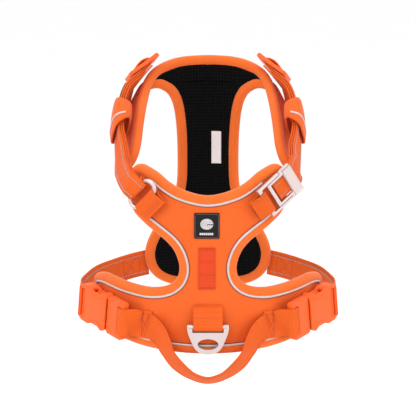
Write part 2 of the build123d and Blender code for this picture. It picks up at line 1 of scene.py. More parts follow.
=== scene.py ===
"""Looks of the no pull dog harness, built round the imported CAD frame.

Shapes are worked out in millimetres, in the frame's own axes, and become metres when a mesh is made.
"""
import math

import bmesh
import bpy
import numpy as np
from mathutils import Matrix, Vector
from mathutils.geometry import delaunay_2d_cdt


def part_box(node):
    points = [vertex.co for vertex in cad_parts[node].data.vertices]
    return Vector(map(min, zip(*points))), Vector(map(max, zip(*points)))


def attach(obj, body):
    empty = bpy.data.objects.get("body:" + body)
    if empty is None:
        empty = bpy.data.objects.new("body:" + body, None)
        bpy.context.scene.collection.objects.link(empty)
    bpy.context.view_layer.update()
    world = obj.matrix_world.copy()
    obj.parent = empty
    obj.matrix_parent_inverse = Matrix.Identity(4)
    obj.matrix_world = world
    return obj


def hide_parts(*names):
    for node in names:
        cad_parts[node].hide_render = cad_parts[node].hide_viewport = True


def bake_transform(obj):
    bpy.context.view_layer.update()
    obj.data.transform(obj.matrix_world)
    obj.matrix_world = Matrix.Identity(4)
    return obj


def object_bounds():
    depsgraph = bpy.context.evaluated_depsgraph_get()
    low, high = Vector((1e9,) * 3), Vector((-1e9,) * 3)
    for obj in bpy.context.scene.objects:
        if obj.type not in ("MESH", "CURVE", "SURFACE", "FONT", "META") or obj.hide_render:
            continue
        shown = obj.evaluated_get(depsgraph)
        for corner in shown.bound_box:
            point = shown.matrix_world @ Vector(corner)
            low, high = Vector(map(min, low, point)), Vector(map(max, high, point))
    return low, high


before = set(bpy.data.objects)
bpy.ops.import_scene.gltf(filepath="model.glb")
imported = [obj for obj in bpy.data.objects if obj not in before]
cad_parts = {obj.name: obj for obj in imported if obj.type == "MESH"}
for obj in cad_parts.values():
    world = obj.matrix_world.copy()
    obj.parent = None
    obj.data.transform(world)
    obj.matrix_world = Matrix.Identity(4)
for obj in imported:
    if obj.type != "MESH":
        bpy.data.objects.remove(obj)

CAD_BOX = [list(corner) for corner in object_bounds()]
MM = 0.001

# ---------------------------------------------------------------- sizes, in millimetres

GIRTH_A = 105.0             # half width of the girth ellipse, outer face
GIRTH_B = -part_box("saddle_shell")[0][1] / MM    # half depth of the girth ellipse
NECK_A = 68.0               # half width and depth of the chest's ellipse at the neck
NECK_B = 87.0
TAPER_LOW = 30.0            # heights between which the chest goes from one ellipse to the other
TAPER_HIGH = 110.0
PANEL = 5.4                 # thickness of the padded panels
BORDER = 7.8                # width of the saddle's border
BINDING = 7.5               # width of the chest's edge binding
TUCK = 1.2                  # how far a panel reaches under its border
CROWN = 4.5                 # distance over which a padded face rises from its edge
WEB_WIDE = 25.0
WEB_NECK = 20.0

# ---------------------------------------------------------------- small geometry tools


def unit(vectors):
    """Vectors scaled to length 1."""
    vectors = np.asarray(vectors, float)
    return vectors / np.maximum(np.linalg.norm(vectors, axis=-1, keepdims=True), 1e-9)


def run_lengths(points):
    """Distance along a path at each of its points."""
    return np.concatenate([[0], np.cumsum(np.linalg.norm(np.diff(points, axis=0), axis=1))])


def sample(data, lengths, wanted):
    """Rows of data, given at lengths, read off at the wanted lengths."""
    return np.stack([np.interp(wanted, lengths, column) for column in np.asarray(data).T], axis=-1)


def smooth_path(points, count, closed=False):
    """Even samples of a Catmull-Rom curve through points."""
    points = np.asarray(points, float)
    if closed:
        padded = np.vstack([points[-1], points, points[0], points[1]])
    else:
        padded = np.vstack([2 * points[0] - points[1], points, 2 * points[-1] - points[-2]])
    dense = []
    for index in range(1, len(padded) - 2):
        before, start, end, after = padded[index - 1:index + 3]
        t = np.linspace(0, 1, 24, endpoint=False)[:, None]
        dense.append(0.5 * (
            2 * start + (end - before) * t
            + (2 * before - 5 * start + 4 * end - after) * t ** 2
            + (3 * start - before - 3 * end + after) * t ** 3
        ))
    dense = np.vstack(dense + [padded[-2][None]])
    along = run_lengths(dense)
    return sample(dense, along, np.linspace(0, along[-1], count, endpoint=not closed))


def tangents(points, closed=False):
    """Unit directions along a path."""
    if closed:
        return unit(np.roll(points, -1, axis=0) - np.roll(points, 1, axis=0))
    return unit(np.gradient(points, axis=0))


def mirrored(points):
    """The same points on the other side of the YZ plane."""
    return np.asarray(points, float) * np.array([-1.0, 1.0, 1.0])


def girth_angle(arc):
    """Angle on the girth ellipse for an arc length measured from the middle of the back."""
    turns = np.linspace(0, math.pi, 721)
    steps = np.hypot(GIRTH_A * np.cos(turns), GIRTH_B * np.sin(turns))
    lengths = np.concatenate([[0], np.cumsum((steps[1:] + steps[:-1]) / 2 * np.diff(turns))])
    return np.sign(arc) * np.interp(np.abs(arc), lengths, turns)


def girth_arc(x):
    """Arc length from the middle of the back to the point of the girth ellipse at x."""
    turns = np.linspace(0, math.pi / 2, 361)
    steps = np.hypot(GIRTH_A * np.cos(turns), GIRTH_B * np.sin(turns))
    lengths = np.concatenate([[0], np.cumsum((steps[1:] + steps[:-1]) / 2 * np.diff(turns))])
    return np.sign(x) * np.interp(np.arcsin(np.clip(np.abs(x) / GIRTH_A, 0, 1)), turns, lengths)


def back_point(flat, depth=0.0):
    """Points of the saddle from (arc, height), depth below its outer face, and outward directions."""
    flat = np.atleast_2d(flat)
    angle = girth_angle(flat[:, 0])
    surface = np.stack([GIRTH_A * np.sin(angle), -GIRTH_B * np.cos(angle), flat[:, 1]], axis=1)
    out = unit(np.stack(
        [surface[:, 0] / GIRTH_A ** 2, surface[:, 1] / GIRTH_B ** 2, 0 * angle], axis=1))
    return surface - out * np.asarray(depth).reshape(-1, 1), out


def chest_point(flat, depth=0.0):
    """Points of the chest's middle from (x, height), depth below its face, and which way is out."""
    flat = np.atleast_2d(flat)
    blend = np.clip((flat[:, 1] - TAPER_LOW) / (TAPER_HIGH - TAPER_LOW), 0, 1)
    blend = blend * blend * (3 - 2 * blend)
    half_width = GIRTH_A + (NECK_A - GIRTH_A) * blend
    half_depth = GIRTH_B + (NECK_B - GIRTH_B) * blend
    x = flat[:, 0]
    y = half_depth * np.sqrt(np.clip(1 - (x / half_width) ** 2, 0.02, 1))
    out = unit(np.stack([x / half_width ** 2, y / half_depth ** 2, 0 * x], axis=1))
    return np.stack([x, y, flat[:, 1]], axis=1) - out * np.asarray(depth).reshape(-1, 1), out


def outline_distance(points, outline):
    """Distance from 2-D points to a closed outline."""
    best = np.full(len(points), 1e9)
    for first, step in zip(outline, np.roll(outline, -1, axis=0) - outline):
        along = np.clip(((points - first) @ step) / max(step @ step, 1e-9), 0, 1)
        best = np.minimum(best, np.linalg.norm(points - first - along[:, None] * step, axis=1))
    return best


def inside(points, outline):
    """Which 2-D points lie inside a closed outline."""
    x, y = points[:, 0], points[:, 1]
    crossing = np.zeros(len(points), bool)
    for (x0, y0), (x1, y1) in zip(outline, np.roll(outline, -1, axis=0)):
        if y0 != y1:
            crossing ^= ((y0 > y) != (y1 > y)) & (x < (x1 - x0) * (y - y0) / (y1 - y0) + x0)
    return crossing


def inward_normals(outline):
    """Unit normals that point into a closed outline."""
    along = tangents(outline, closed=True)
    normals = np.stack([-along[:, 1], along[:, 0]], axis=1)
    after = np.roll(outline, -1, axis=0)
    area = np.sum(outline[:, 0] * after[:, 1] - outline[:, 1] * after[:, 0])
    return normals if area > 0 else -normals


def inset_outline(outline, distance):
    """A closed outline drawn in by distance, without the loops that tight corners leave."""
    moved = outline + inward_normals(outline) * distance
    keep = outline_distance(moved, outline) > distance - 0.25
    return moved[keep]


def flat_mesh(outline, spacing):
    """Triangles that fill a closed 2-D outline with even points: (points, faces)."""
    low, high = outline.min(axis=0), outline.max(axis=0)
    columns = np.arange(low[0], high[0], spacing)
    rows = np.arange(low[1], high[1], spacing * 0.866)
    grid = np.array([(x + (index % 2) * spacing / 2, y)
                     for index, y in enumerate(rows) for x in columns])
    grid = grid[inside(grid, outline)]
    grid = grid[outline_distance(grid, outline) > spacing * 0.45]
    points = [Vector(p) for p in np.vstack([outline, grid])]
    edges = [(i, (i + 1) % len(outline)) for i in range(len(outline))]
    result = delaunay_2d_cdt(points, edges, [list(range(len(outline)))], 1, 1e-4)
    return np.array([tuple(p) for p in result[0]]), [list(face) for face in result[2]]


# ---------------------------------------------------------------- meshes and pieces


def make_object(name, points, faces, material, uv=None):
    """A smooth mesh object from points in millimetres, with a uv pair in millimetres for each."""
    mesh = bpy.data.meshes.new(name)
    mesh.from_pydata([tuple(p) for p in np.asarray(points) * MM], [], [tuple(f) for f in faces])
    if uv is not None:
        layer = mesh.uv_layers.new(name="Weave")
        corners = np.zeros(len(mesh.loops), np.int32)
        mesh.loops.foreach_get("vertex_index", corners)
        layer.data.foreach_set("uv", (np.asarray(uv)[corners] * MM * 10).astype(np.float32).ravel())
    mesh.polygons.foreach_set("use_smooth", [True] * len(mesh.polygons))
    mesh.materials.append(material)
    mesh.update()
    piece = bpy.data.objects.new(name, mesh)
    bpy.context.scene.collection.objects.link(piece)
    return piece


def join_parts(name, parts, material):
    """One object from several (points, faces) lists."""
    points, faces, start = [], [], 0
    for part_points, part_faces in parts:
        points.append(np.asarray(part_points))
        faces += [[index + start for index in face] for face in part_faces]
        start += len(part_points)
    return make_object(name, np.vstack(points), faces, material)


def settle(piece, body="harness", replaces=()):
    """Put a piece on its body, or on none if body is None, and hide the CAD parts it stands for."""
    if body:
        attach(piece, body)
    if replaces:
        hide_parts(*replaces)
    return piece


def grid_faces(rows, columns, closed_rows=False, closed_columns=False):
    """Quads of a grid of points, row by row."""
    faces = []
    for row in range(rows if closed_rows else rows - 1):
        for column in range(columns if closed_columns else columns - 1):
            next_row, next_column = (row + 1) % rows, (column + 1) % columns
            faces.append([
                row * columns + column, row * columns + next_column,
                next_row * columns + next_column, next_row * columns + column,
            ])
    return faces


def sweep(path, across, out, profile, closed=False):
    """Points, faces and uv of a closed profile of (across, out) pairs carried along a path."""
    path, across, out = (np.asarray(a, float) for a in (path, across, out))
    profile = np.asarray(profile, float)
    if profile.ndim == 2:
        profile = np.repeat(profile[None], len(path), axis=0)
    points = (
        path[:, None, :]
        + across[:, None, :] * profile[:, :, :1]
        + out[:, None, :] * profile[:, :, 1:]
    )
    rows, columns = points.shape[:2]
    faces = grid_faces(rows, columns, closed_rows=closed, closed_columns=True)
    if not closed:
        faces.append(list(range(columns)))
        faces.append([(rows - 1) * columns + c for c in reversed(range(columns))])
    uv = np.stack(np.broadcast_arrays(
        run_lengths(profile[0])[None, :], run_lengths(path)[:, None]), axis=-1).reshape(-1, 2)
    return points.reshape(-1, 3), faces, uv


def tube(path, radius, sides=10):
    """Points and faces of a round tube along a path."""
    path = np.asarray(path, float)
    along = tangents(path)
    side = unit(np.cross(along, np.array([0.31, 0.2, 0.93])))
    for index in range(1, len(side)):
        carried = side[index - 1] - along[index] * (side[index - 1] @ along[index])
        side[index] = unit(carried)
    up = np.cross(along, side)
    turn = np.linspace(0, 2 * math.pi, sides, endpoint=False)
    profile = np.stack([np.cos(turn), np.sin(turn)], axis=1) * radius
    points, faces, _ = sweep(path, side, up, profile)
    return points, faces


def strap_profile(width, thick):
    """Flat webbing section with rounded edges; its first point is at one edge."""
    half, radius = width / 2 - thick / 2, thick / 2
    turn = np.linspace(-90, 90, 7) * math.pi / 180
    right = np.stack([half + radius * np.cos(turn), radius * np.sin(turn)], axis=1)
    flat = np.linspace(half, -half, 10)[1:-1]
    top = np.stack([flat, np.full_like(flat, radius)], axis=1)
    return np.vstack([right, top, -right, -top])


def webbing(name, points, outs, width, thick, material, count=None, lift=0.0):
    """A strap along given points; the outward directions are spread evenly by length."""
    lengths = run_lengths(points)
    count = count or max(8, int(lengths[-1] / 1.6))
    path = smooth_path(points, count)
    out = sample(unit(outs), lengths, np.linspace(0, lengths[-1], count))
    along = tangents(path)
    across = unit(np.cross(out, along))
    out = unit(np.cross(along, across))
    path = path + out * lift
    mesh_points, faces, uv = sweep(path, across, out, strap_profile(width, thick))
    return make_object(name, mesh_points, faces, material, uv), (path, across, out)


def capsule(start, end, radius, facing):
    """A short rounded stitch between two points, on a surface that looks towards facing."""
    middle = (start + end) / 2
    path = np.stack([start, start * 0.75 + end * 0.25, middle, start * 0.25 + end * 0.75, end])
    along = unit(end - start)
    side = unit(np.cross(along, facing))
    up = np.cross(along, side)
    scale = np.array([0.45, 0.95, 1.0, 0.95, 0.45])
    turn = np.linspace(0, 2 * math.pi, 6, endpoint=False)
    circle = np.stack([np.cos(turn), np.sin(turn)], axis=1) * radius
    profile = circle[None] * scale[:, None, None]
    points, faces, _ = sweep(path, np.repeat(side[None], 5, 0), np.repeat(up[None], 5, 0), profile)
    return points, faces


def stitch_row(path, out, radius, length, gap, raise_by):
    """Stitches along a path that lies on a surface with the given outward directions."""
    path = np.asarray(path, float) + np.asarray(out) * raise_by
    along = run_lengths(path)
    parts = []
    position = gap
    while position + length < along[-1]:
        start, end = (sample(path, along, place) for place in (position, position + length))
        parts.append(capsule(start, end, radius, sample(out, along, position)))
        position += length + gap
    return parts


# ---------------------------------------------------------------- materials


class Nodes:
    """Short names for building a material's node tree."""

    def __init__(self, name):
        self.material = bpy.data.materials.new(name)
        self.material.use_nodes = True
        self.tree = self.material.node_tree
        self.shader = self.tree.nodes["Principled BSDF"]

    def add(self, kind, **settings):
        node = self.tree.nodes.new(kind)
        for key, value in settings.items():
            setattr(node, key, value)
        return node

    def link(self, start, end):
        self.tree.links.new(start, end)

    def value(self, operation, first, second=None):
        node = self.add("ShaderNodeMath", operation=operation)
        for socket, item in zip(node.inputs, (first, second)):
            if item is None:
                continue
            if isinstance(item, (int, float)):
                socket.default_value = item
            else:
                self.link(item, socket)
        return node.outputs[0]

    def weave_uv(self):
        """The flat cloth coordinates, split in (across, along); one unit is 100 mm."""
        uv = self.add("ShaderNodeUVMap", uv_map="Weave")
        split = self.add("ShaderNodeSeparateXYZ")
        self.link(uv.outputs[0], split.inputs[0])
        return uv.outputs[0], split.outputs[0], split.outputs[1]

    def noise(self, scale, detail=3.0, vector=None):
        node = self.add("ShaderNodeTexNoise")
        node.inputs["Scale"].default_value = scale
        node.inputs["Detail"].default_value = detail
        if vector is None:
            vector = self.add("ShaderNodeTexCoord").outputs["Object"]
        self.link(vector, node.inputs["Vector"])
        return node.outputs["Fac"]

    def ramp(self, factor, stops):
        node = self.add("ShaderNodeValToRGB")
        elements = node.color_ramp.elements
        while len(elements) < len(stops):
            elements.new(0.5)
        for element, (position, color) in zip(elements, stops):
            element.position = position
            element.color = (*color, 1)
        self.link(factor, node.inputs[0])
        return node.outputs["Color"]

    def mix(self, factor, first, second, blend="MIX"):
        node = self.add("ShaderNodeMix", data_type="RGBA", blend_type=blend)
        sockets = [node.inputs["Factor"], node.inputs[6], node.inputs[7]]
        for socket, item in zip(sockets, (factor, first, second)):
            if isinstance(item, (int, float)):
                socket.default_value = item
            elif isinstance(item, tuple):
                socket.default_value = (*item, 1)
            else:
                self.link(item, socket)
        return node.outputs[2]

    def bump(self, height, strength, distance):
        node = self.add("ShaderNodeBump")
        node.inputs["Strength"].default_value = strength
        node.inputs["Distance"].default_value = distance
        self.link(height, node.inputs["Height"])
        self.link(node.outputs[0], self.shader.inputs["Normal"])

    def roughness(self, factor, low, high):
        node = self.add("ShaderNodeMapRange")
        node.inputs["To Min"].default_value = low
        node.inputs["To Max"].default_value = high
        self.link(factor, node.inputs["Value"])
        self.link(node.outputs[0], self.shader.inputs["Roughness"])

    def color(self, output):
        self.link(output, self.shader.inputs["Base Color"])

    def set(self, **values):
        for key, value in values.items():
            self.shader.inputs[key.replace("_", " ")].default_value = value


def darker(color, factor):
    """A colour scaled down, a little more in green and blue."""
    return (color[0] * factor, color[1] * factor ** 1.5, color[2] * factor ** 1.5)


def woven_material(name, color, pitch, depth=0.45, rib=False, sheen=0.25, soft=0.7):
    """Woven cloth: pitch is the thread spacing in millimetres; rib makes cross ribs as on webbing."""
    nodes = Nodes(name)
    _, across, along = nodes.weave_uv()
    cycles = 2 * math.pi * 100 / pitch
    if rib:
        turns = nodes.value("MULTIPLY", across, cycles / 2)
        wave = nodes.value("MULTIPLY", nodes.value("SINE", turns), 0.9)
        phase = nodes.value("ADD", nodes.value("MULTIPLY", along, cycles), wave)
        height = nodes.value("ADD", nodes.value("MULTIPLY", nodes.value("SINE", phase), 0.5), 0.5)
    else:
        warp = nodes.value("SINE", nodes.value("MULTIPLY", across, cycles))
        weft = nodes.value("SINE", nodes.value("MULTIPLY", along, cycles))
        crossing = nodes.value("MULTIPLY", warp, weft)
        height = nodes.value("ADD", nodes.value("MULTIPLY", crossing, 0.5), 0.5)
    # the gaps between threads are painted darker: painted shade in the weave's hollows, on top of the
    # bump
    cloth = nodes.mix(height, darker(color, 0.80), color)
    wear = nodes.ramp(nodes.noise(38), [(0.3, (0.93, 0.93, 0.93)), (0.72, (1.0, 1.0, 1.0))])
    fine = nodes.ramp(nodes.noise(900, 2), [(0.35, (0.94, 0.94, 0.94)), (0.7, (1.0, 1.0, 1.0))])
    nodes.color(nodes.mix(1.0, nodes.mix(1.0, cloth, wear, "MULTIPLY"), fine, "MULTIPLY"))
    nodes.roughness(height, soft + 0.12, soft)
    nodes.bump(height, depth, 0.0003)
    nodes.set(Sheen_Weight=sheen, Sheen_Roughness=0.4, Specular_IOR_Level=0.16)
    return nodes.material


def mesh_material(name):
    """Black spacer mesh: rows of round holes in a knitted face."""
    nodes = Nodes(name)
    vector, _, _ = nodes.weave_uv()
    holes = nodes.add("ShaderNodeTexVoronoi")
    holes.inputs["Scale"].default_value = 34.0
    holes.inputs["Randomness"].default_value = 0.12
    nodes.link(vector, holes.inputs["Vector"])
    rim = nodes.add("ShaderNodeMapRange", interpolation_type="SMOOTHSTEP")
    rim.inputs["From Min"].default_value = 0.26
    rim.inputs["From Max"].default_value = 0.44
    nodes.link(holes.outputs["Distance"], rim.inputs["Value"])
    knit = nodes.noise(1400, 1)
    cloth = nodes.mix(knit, (0.0012, 0.0012, 0.0013), (0.0045, 0.0045, 0.0047))
    nodes.color(nodes.mix(rim.outputs[0], (0.0008, 0.0008, 0.0009), cloth))
    nodes.bump(nodes.value("ADD", rim.outputs[0], nodes.value("MULTIPLY", knit, 0.3)), 0.9, 0.0009)
    nodes.roughness(rim.outputs[0], 0.95, 0.72)
    nodes.set(Sheen_Weight=0.02, Sheen_Roughness=0.5, Specular_IOR_Level=0.06)
    return nodes.material


def plastic_material(name, color):
    """Moulded satin plastic with a fine spark texture and rubbed patches."""
    nodes = Nodes(name)
    spark = nodes.noise(1600, 2)
    rubbed = nodes.noise(60, 4)
    nodes.color(nodes.mix(rubbed, darker(color, 0.93), color))
    nodes.roughness(rubbed, 0.40, 0.58)
    nodes.bump(spark, 0.18, 0.00012)
    nodes.set(Specular_IOR_Level=0.32, Coat_Weight=0.03, Coat_Roughness=0.35)
    return nodes.material


def metal_material(name, color):
    """Satin anodised aluminium with a faint brushed grain and slightly cloudy colour."""
    nodes = Nodes(name)
    place = nodes.add("ShaderNodeTexCoord").outputs["Object"]
    stretch = nodes.add("ShaderNodeMapping")
    stretch.inputs["Scale"].default_value = (1, 1, 14)
    nodes.link(place, stretch.inputs["Vector"])
    grain = nodes.noise(420, 2, stretch.outputs[0])
    clouds = nodes.noise(45, 3)
    nodes.color(nodes.mix(clouds, darker(color, 0.93), color))
    nodes.roughness(grain, 0.30, 0.44)
    nodes.bump(grain, 0.10, 0.00008)
    nodes.set(Metallic=0.9)
    return nodes.material


def reflective_material(name, color):
    """Glass bead reflective film."""
    nodes = Nodes(name)
    beads = nodes.noise(2600, 1)
    patches = nodes.noise(120, 3)
    nodes.color(nodes.mix(patches, darker(color, 0.82), color))
    nodes.roughness(beads, 0.32, 0.5)
    nodes.bump(beads, 0.25, 0.0001)
    nodes.set(Metallic=0.25)
    return nodes.material


def thread_material(name, color):
    """Twisted sewing thread."""
    nodes = Nodes(name)
    twist = nodes.noise(1800, 1)
    nodes.color(nodes.mix(twist, darker(color, 0.78), color))
    nodes.roughness(twist, 0.45, 0.65)
    nodes.bump(twist, 0.4, 0.0001)
    nodes.set(Sheen_Weight=0.2)
    return nodes.material


FABRIC = woven_material("Orange oxford cloth", (0.93, 0.150, 0.022), 0.75, depth=0.4, sheen=0.15)
BINDING_CLOTH = woven_material(
    "Orange stretch binding", (0.95, 0.185, 0.028), 0.5, depth=0.3, sheen=0.35, soft=0.75)
WEB_CLOTH = woven_material(
    "Orange nylon webbing", (0.90, 0.140, 0.016), 1.15, depth=0.8, rib=True, sheen=0.04)
STRIP_CLOTH = woven_material(
    "Red orange elastic", (0.82, 0.075, 0.016), 1.3, depth=0.8, rib=True, sheen=0.1)
MESH_CLOTH = mesh_material("Black air mesh")
LABEL_CLOTH = woven_material("Black woven label", (0.016, 0.016, 0.017), 0.45, depth=0.3, sheen=0.05)
PRINT_CLOTH = woven_material("White printed label", (0.88, 0.88, 0.88), 0.6, depth=0.3, sheen=0.05)
MARK_THREAD = thread_material("Grey label thread", (0.30, 0.30, 0.29))
PRINT_THREAD = thread_material("White emblem thread", (0.80, 0.80, 0.79))
REFLECTIVE = reflective_material("Reflective film", (0.62, 0.585, 0.575))
REFLECTIVE_THREAD = thread_material("Reflective thread", (0.45, 0.40, 0.40))
ORANGE_THREAD = thread_material("Orange thread", (0.60, 0.050, 0.010))
PLASTIC = plastic_material("Orange moulded plastic", (0.92, 0.118, 0.012))
METAL = metal_material("Satin aluminium", (0.68, 0.585, 0.57))
# a dark tube beside each piping: painted shadow of the border's lip, made with a thread material
SEAM_SHADOW = thread_material("Painted seam shadow", (0.20, 0.030, 0.012))

# ---------------------------------------------------------------- saddle

# half outline of the saddle from the middle of the neck edge: (x, height) up to the wing, then the
# wing's end as (arc, height), then (x, height) along the hem
SADDLE_TOP = [
    (0, 103.5), (20, 107.5), (33, 114), (42, 121), (50, 125.5), (57, 128), (62.5, 126), (66.5, 118),
    (67.5, 104), (64, 88), (54.5, 78), (44, 70), (34.5, 62.5), (28, 54), (24.5, 42), (27, 31.5),
    (35.5, 24.5), (50, 21.5), (67.5, 22.5), (84, 25),
]
WING_END = [(108, 25.5), (122, 22), (130, 12), (131, 0), (126, -12), (114, -20.5)]
SADDLE_HEM = [(84, -26), (68, -29.5), (50, -32), (25, -33.8)]


def saddle_outline():
    """Closed outline of the saddle in (arc, height)."""
    half = [(float(girth_arc(x)), z) for x, z in SADDLE_TOP] + WING_END
    half += [(float(girth_arc(x)), z) for x, z in SADDLE_HEM] + [(0, -34.3)]
    other = [(-s, z) for s, z in reversed(half[1:-1])]
    return smooth_path(half + other, 460, closed=True)


SADDLE = saddle_outline()


def groove(points, start, end, width=0.9, depth=0.55):
    """Depth of a sewn seam that runs between two flat points."""
    start, end = np.array(start, float), np.array(end, float)
    step = end - start
    along = np.clip(((points - start) @ step) / (step @ step), 0, 1)
    distance = np.linalg.norm(points - start - along[:, None] * step, axis=1)
    return depth * np.exp(-(distance / width) ** 2)


def wrinkles(points, size):
    """Soft uneven swell of worn cloth."""
    x, y = points[:, 0], points[:, 1]
    return size * (
        np.sin(x * 0.11 + 1.3 * np.sin(y * 0.06)) * np.cos(y * 0.09 + 0.7)
        + 0.5 * np.sin(x * 0.23 - y * 0.17 + 0.4)
    )


def saddle_panel(name, material, depth, swell, replaces):
    """One face of the saddle inside the border, crowned by swell."""
    edge = inset_outline(SADDLE, BORDER - TUCK)
    flat, faces = flat_mesh(edge[::2], 2.3)
    crown = 1 - np.exp(-outline_distance(flat, edge) / CROWN)
    lift = swell * crown + wrinkles(flat, 0.28) * crown
    if depth == 0:
        # two seams on each wing: one across it, and one towards the buckle
        for side in (-1, 1):
            lift -= groove(flat, (side * 50, 14), (side * 52.5, -8))
            lift -= groove(flat, (side * 52, 2.5), (side * 72, 5.5))
        points, _ = back_point(flat, -lift)
    else:
        points, _ = back_point(flat, depth + lift)
    piece = make_object(name, points, faces, material, uv=flat)
    return settle(piece, replaces=replaces)


# section of the soft border as (inwards from the edge, out of the panel)
BORDER_PROFILE = np.array([
    (9.4, -0.6), (8.7, 0.5), (7.4, 1.25), (5.5, 1.75), (3.2, 1.7), (1.3, 1.0), (0.2, -0.5),
    (-0.1, -2.7), (0.2, -5.0), (1.3, -6.3), (3.2, -6.9), (5.5, -6.9), (7.4, -6.4), (8.7, -5.8),
    (9.4, -4.8),
])


def saddle_border():
    """The soft bound edge of the saddle."""
    path, out = back_point(SADDLE)
    inner, _ = back_point(SADDLE + inward_normals(SADDLE) * 1.0)
    across = unit(inner - path)
    points, faces, uv = sweep(path, across, out, BORDER_PROFILE, closed=True)
    piece = make_object("saddle_border_binding", points, faces, BINDING_CLOTH, uv)
    return settle(piece, replaces=["saddle_border"])


PIPING_RADIUS = 1.08


def piping_line(low_x, high_x, low_z, high_z, inset=BORDER, lift=1.1):
    """The run of a line drawn in from the saddle's edge that lies in a window of x and height."""
    line = inset_outline(SADDLE, inset)
    points, out = back_point(line, -lift)
    x, z = points[:, 0], points[:, 2]
    chosen = (x > low_x) & (x < high_x) & (z > low_z) & (z < high_z)
    start = int(np.argmin(chosen)) if not chosen.all() else 0
    order = np.roll(np.arange(len(points)), -start)
    picked = [index for index in order if chosen[index]]
    return points[picked], out[picked]


def saddle_piping():
    """Four lengths of reflective piping on the seam of the border, each with a painted shadow line
    beside it.
    """
    windows = {
        "neck_piping": (-49, 49, 88, 140),
        "left_armhole_piping": (-104.4, -13, 3, 88),
        "right_armhole_piping": (13, 104.4, 3, 88),
        "hem_piping": (-94, 94, -40, -8),
    }
    for node, window in windows.items():
        path, _ = piping_line(*window)
        points, faces = tube(smooth_path(path[::3], len(path)), PIPING_RADIUS)
        cord = make_object(node + "_cord", points, faces, REFLECTIVE)
        settle(cord, replaces=[node])
        # a thin dark tube just inside each piping: a painted shadow line where the border's lip shades
        # the panel
        path, _ = piping_line(*window, inset=BORDER + 1.25, lift=0.9)
        points, faces = tube(smooth_path(path[::3], len(path)), 0.4, sides=6)
        settle(make_object(node + "_seam_shadow", points, faces, SEAM_SHADOW))


saddle_face = saddle_panel(
    "saddle_outer_cloth", FABRIC, 0, 1.5, ["saddle_shell", "saddle_foam"])
saddle_panel("saddle_mesh_lining", MESH_CLOTH, PANEL, 0.7, ["saddle_lining"])
saddle_border()
saddle_piping()

# ---------------------------------------------------------------- chest panel

# left edges of the shoulder arm, from the middle of the chest to the tip
ARM_NECK_EDGE = np.array([
    (0, 87, 204.5), (-28, 80, 203), (-47, 68, 197), (-54, 55, 190), (-58, 38, 177), (-60, 25, 167),
    (-62, 8, 153), (-64, -10, 137), (-68, -24, 125),
], float)
ARM_LOWER_EDGE = np.array([
    (0, 87, 180), (-29, 79, 178), (-54, 64, 176.5), (-70, 55, 164), (-78, 42, 149), (-81, 31, 139),
    (-83, 16, 125), (-81, 0, 111), (-76, -18, 110),
], float)
ARM_STEPS = 90
neck_edge = smooth_path(ARM_NECK_EDGE, ARM_STEPS)
lower_edge = smooth_path(ARM_LOWER_EDGE, ARM_STEPS)
arm_middle = (neck_edge + lower_edge) / 2
arm_along = tangents(arm_middle)
arm_across = unit(lower_edge - neck_edge)
arm_out = unit(np.cross(arm_across, arm_along))
arm_out[0] = (0, 1, 0)

# half outline of the belly pad and strip, from the bottom of the pad up to the arm
PAD_SIDE = [
    (0, -19), (22, -19), (41, -16), (55, -6), (61, 9), (60, 24), (52, 40), (40.5, 56), (33, 70),
    (30.2, 84), (29.5, 105), (30, 130), (32, 152), (35.5, 166),
]


def arm_face(name, material, depth, swell, replaces):
    """One face of both shoulder arms, inside the binding."""
    rows, columns = ARM_STEPS - 3, 17
    inset = BINDING - TUCK
    points, flat = [], []
    running = run_lengths(arm_middle)
    for row in range(rows):
        width = np.linalg.norm(lower_edge[row] - neck_edge[row])
        # over the strip the lower edge is open, with no binding
        open_edge = abs(arm_middle[row][0]) < 26
        low = width - (2.0 if open_edge else inset)
        for column in range(columns):
            across = inset + (low - inset) * column / (columns - 1)
            share = column / (columns - 1)
            crown = 1 - math.exp(-min(share, 1 if open_edge else 1 - share) * width / CROWN)
            lift = swell * crown if depth == 0 else -(depth + swell * crown)
            points.append(neck_edge[row] + arm_across[row] * across + arm_out[row] * lift)
            flat.append((across, running[row]))
    points = np.array(points)
    faces = grid_faces(rows, columns)
    both = np.vstack([points, mirrored(points)])
    other = [[index + len(points) for index in reversed(face)] for face in faces]
    piece = make_object(name, both, faces + other, material, uv=np.array(flat + flat))
    return settle(piece, replaces=replaces)


def pad_outline():
    """Closed outline of the belly pad and strip in (x, height), up under the arms."""
    half = PAD_SIDE + [(41.5, 173.2), (49, 177.5), (52, 183.5), (44, 190), (33, 196)]
    other = [(-x, z) for x, z in reversed(half[1:])]
    return smooth_path(half + other, 300, closed=True)


def pad_panel(name, material, depth, swell):
    """One face of the belly pad and strip, inside the binding."""
    edge = inset_outline(pad_outline(), BINDING - TUCK)
    flat, faces = flat_mesh(edge[::2], 2.4)
    crown = 1 - np.exp(-outline_distance(flat, edge) / CROWN)
    lift = swell * crown + wrinkles(flat, 0.25) * crown - 0.5 * (flat[:, 1] > 176)
    # near the arms the panel leaves the chest's curve and follows the arm
    flare = 3.2 * np.clip((np.abs(flat[:, 0]) - 28) / 19, 0, 1) * np.clip((flat[:, 1] - 160) / 14, 0, 1)
    points, _ = chest_point(flat, -lift - flare if depth == 0 else depth + lift - flare)
    return settle(make_object(name, points, faces, material, uv=flat))


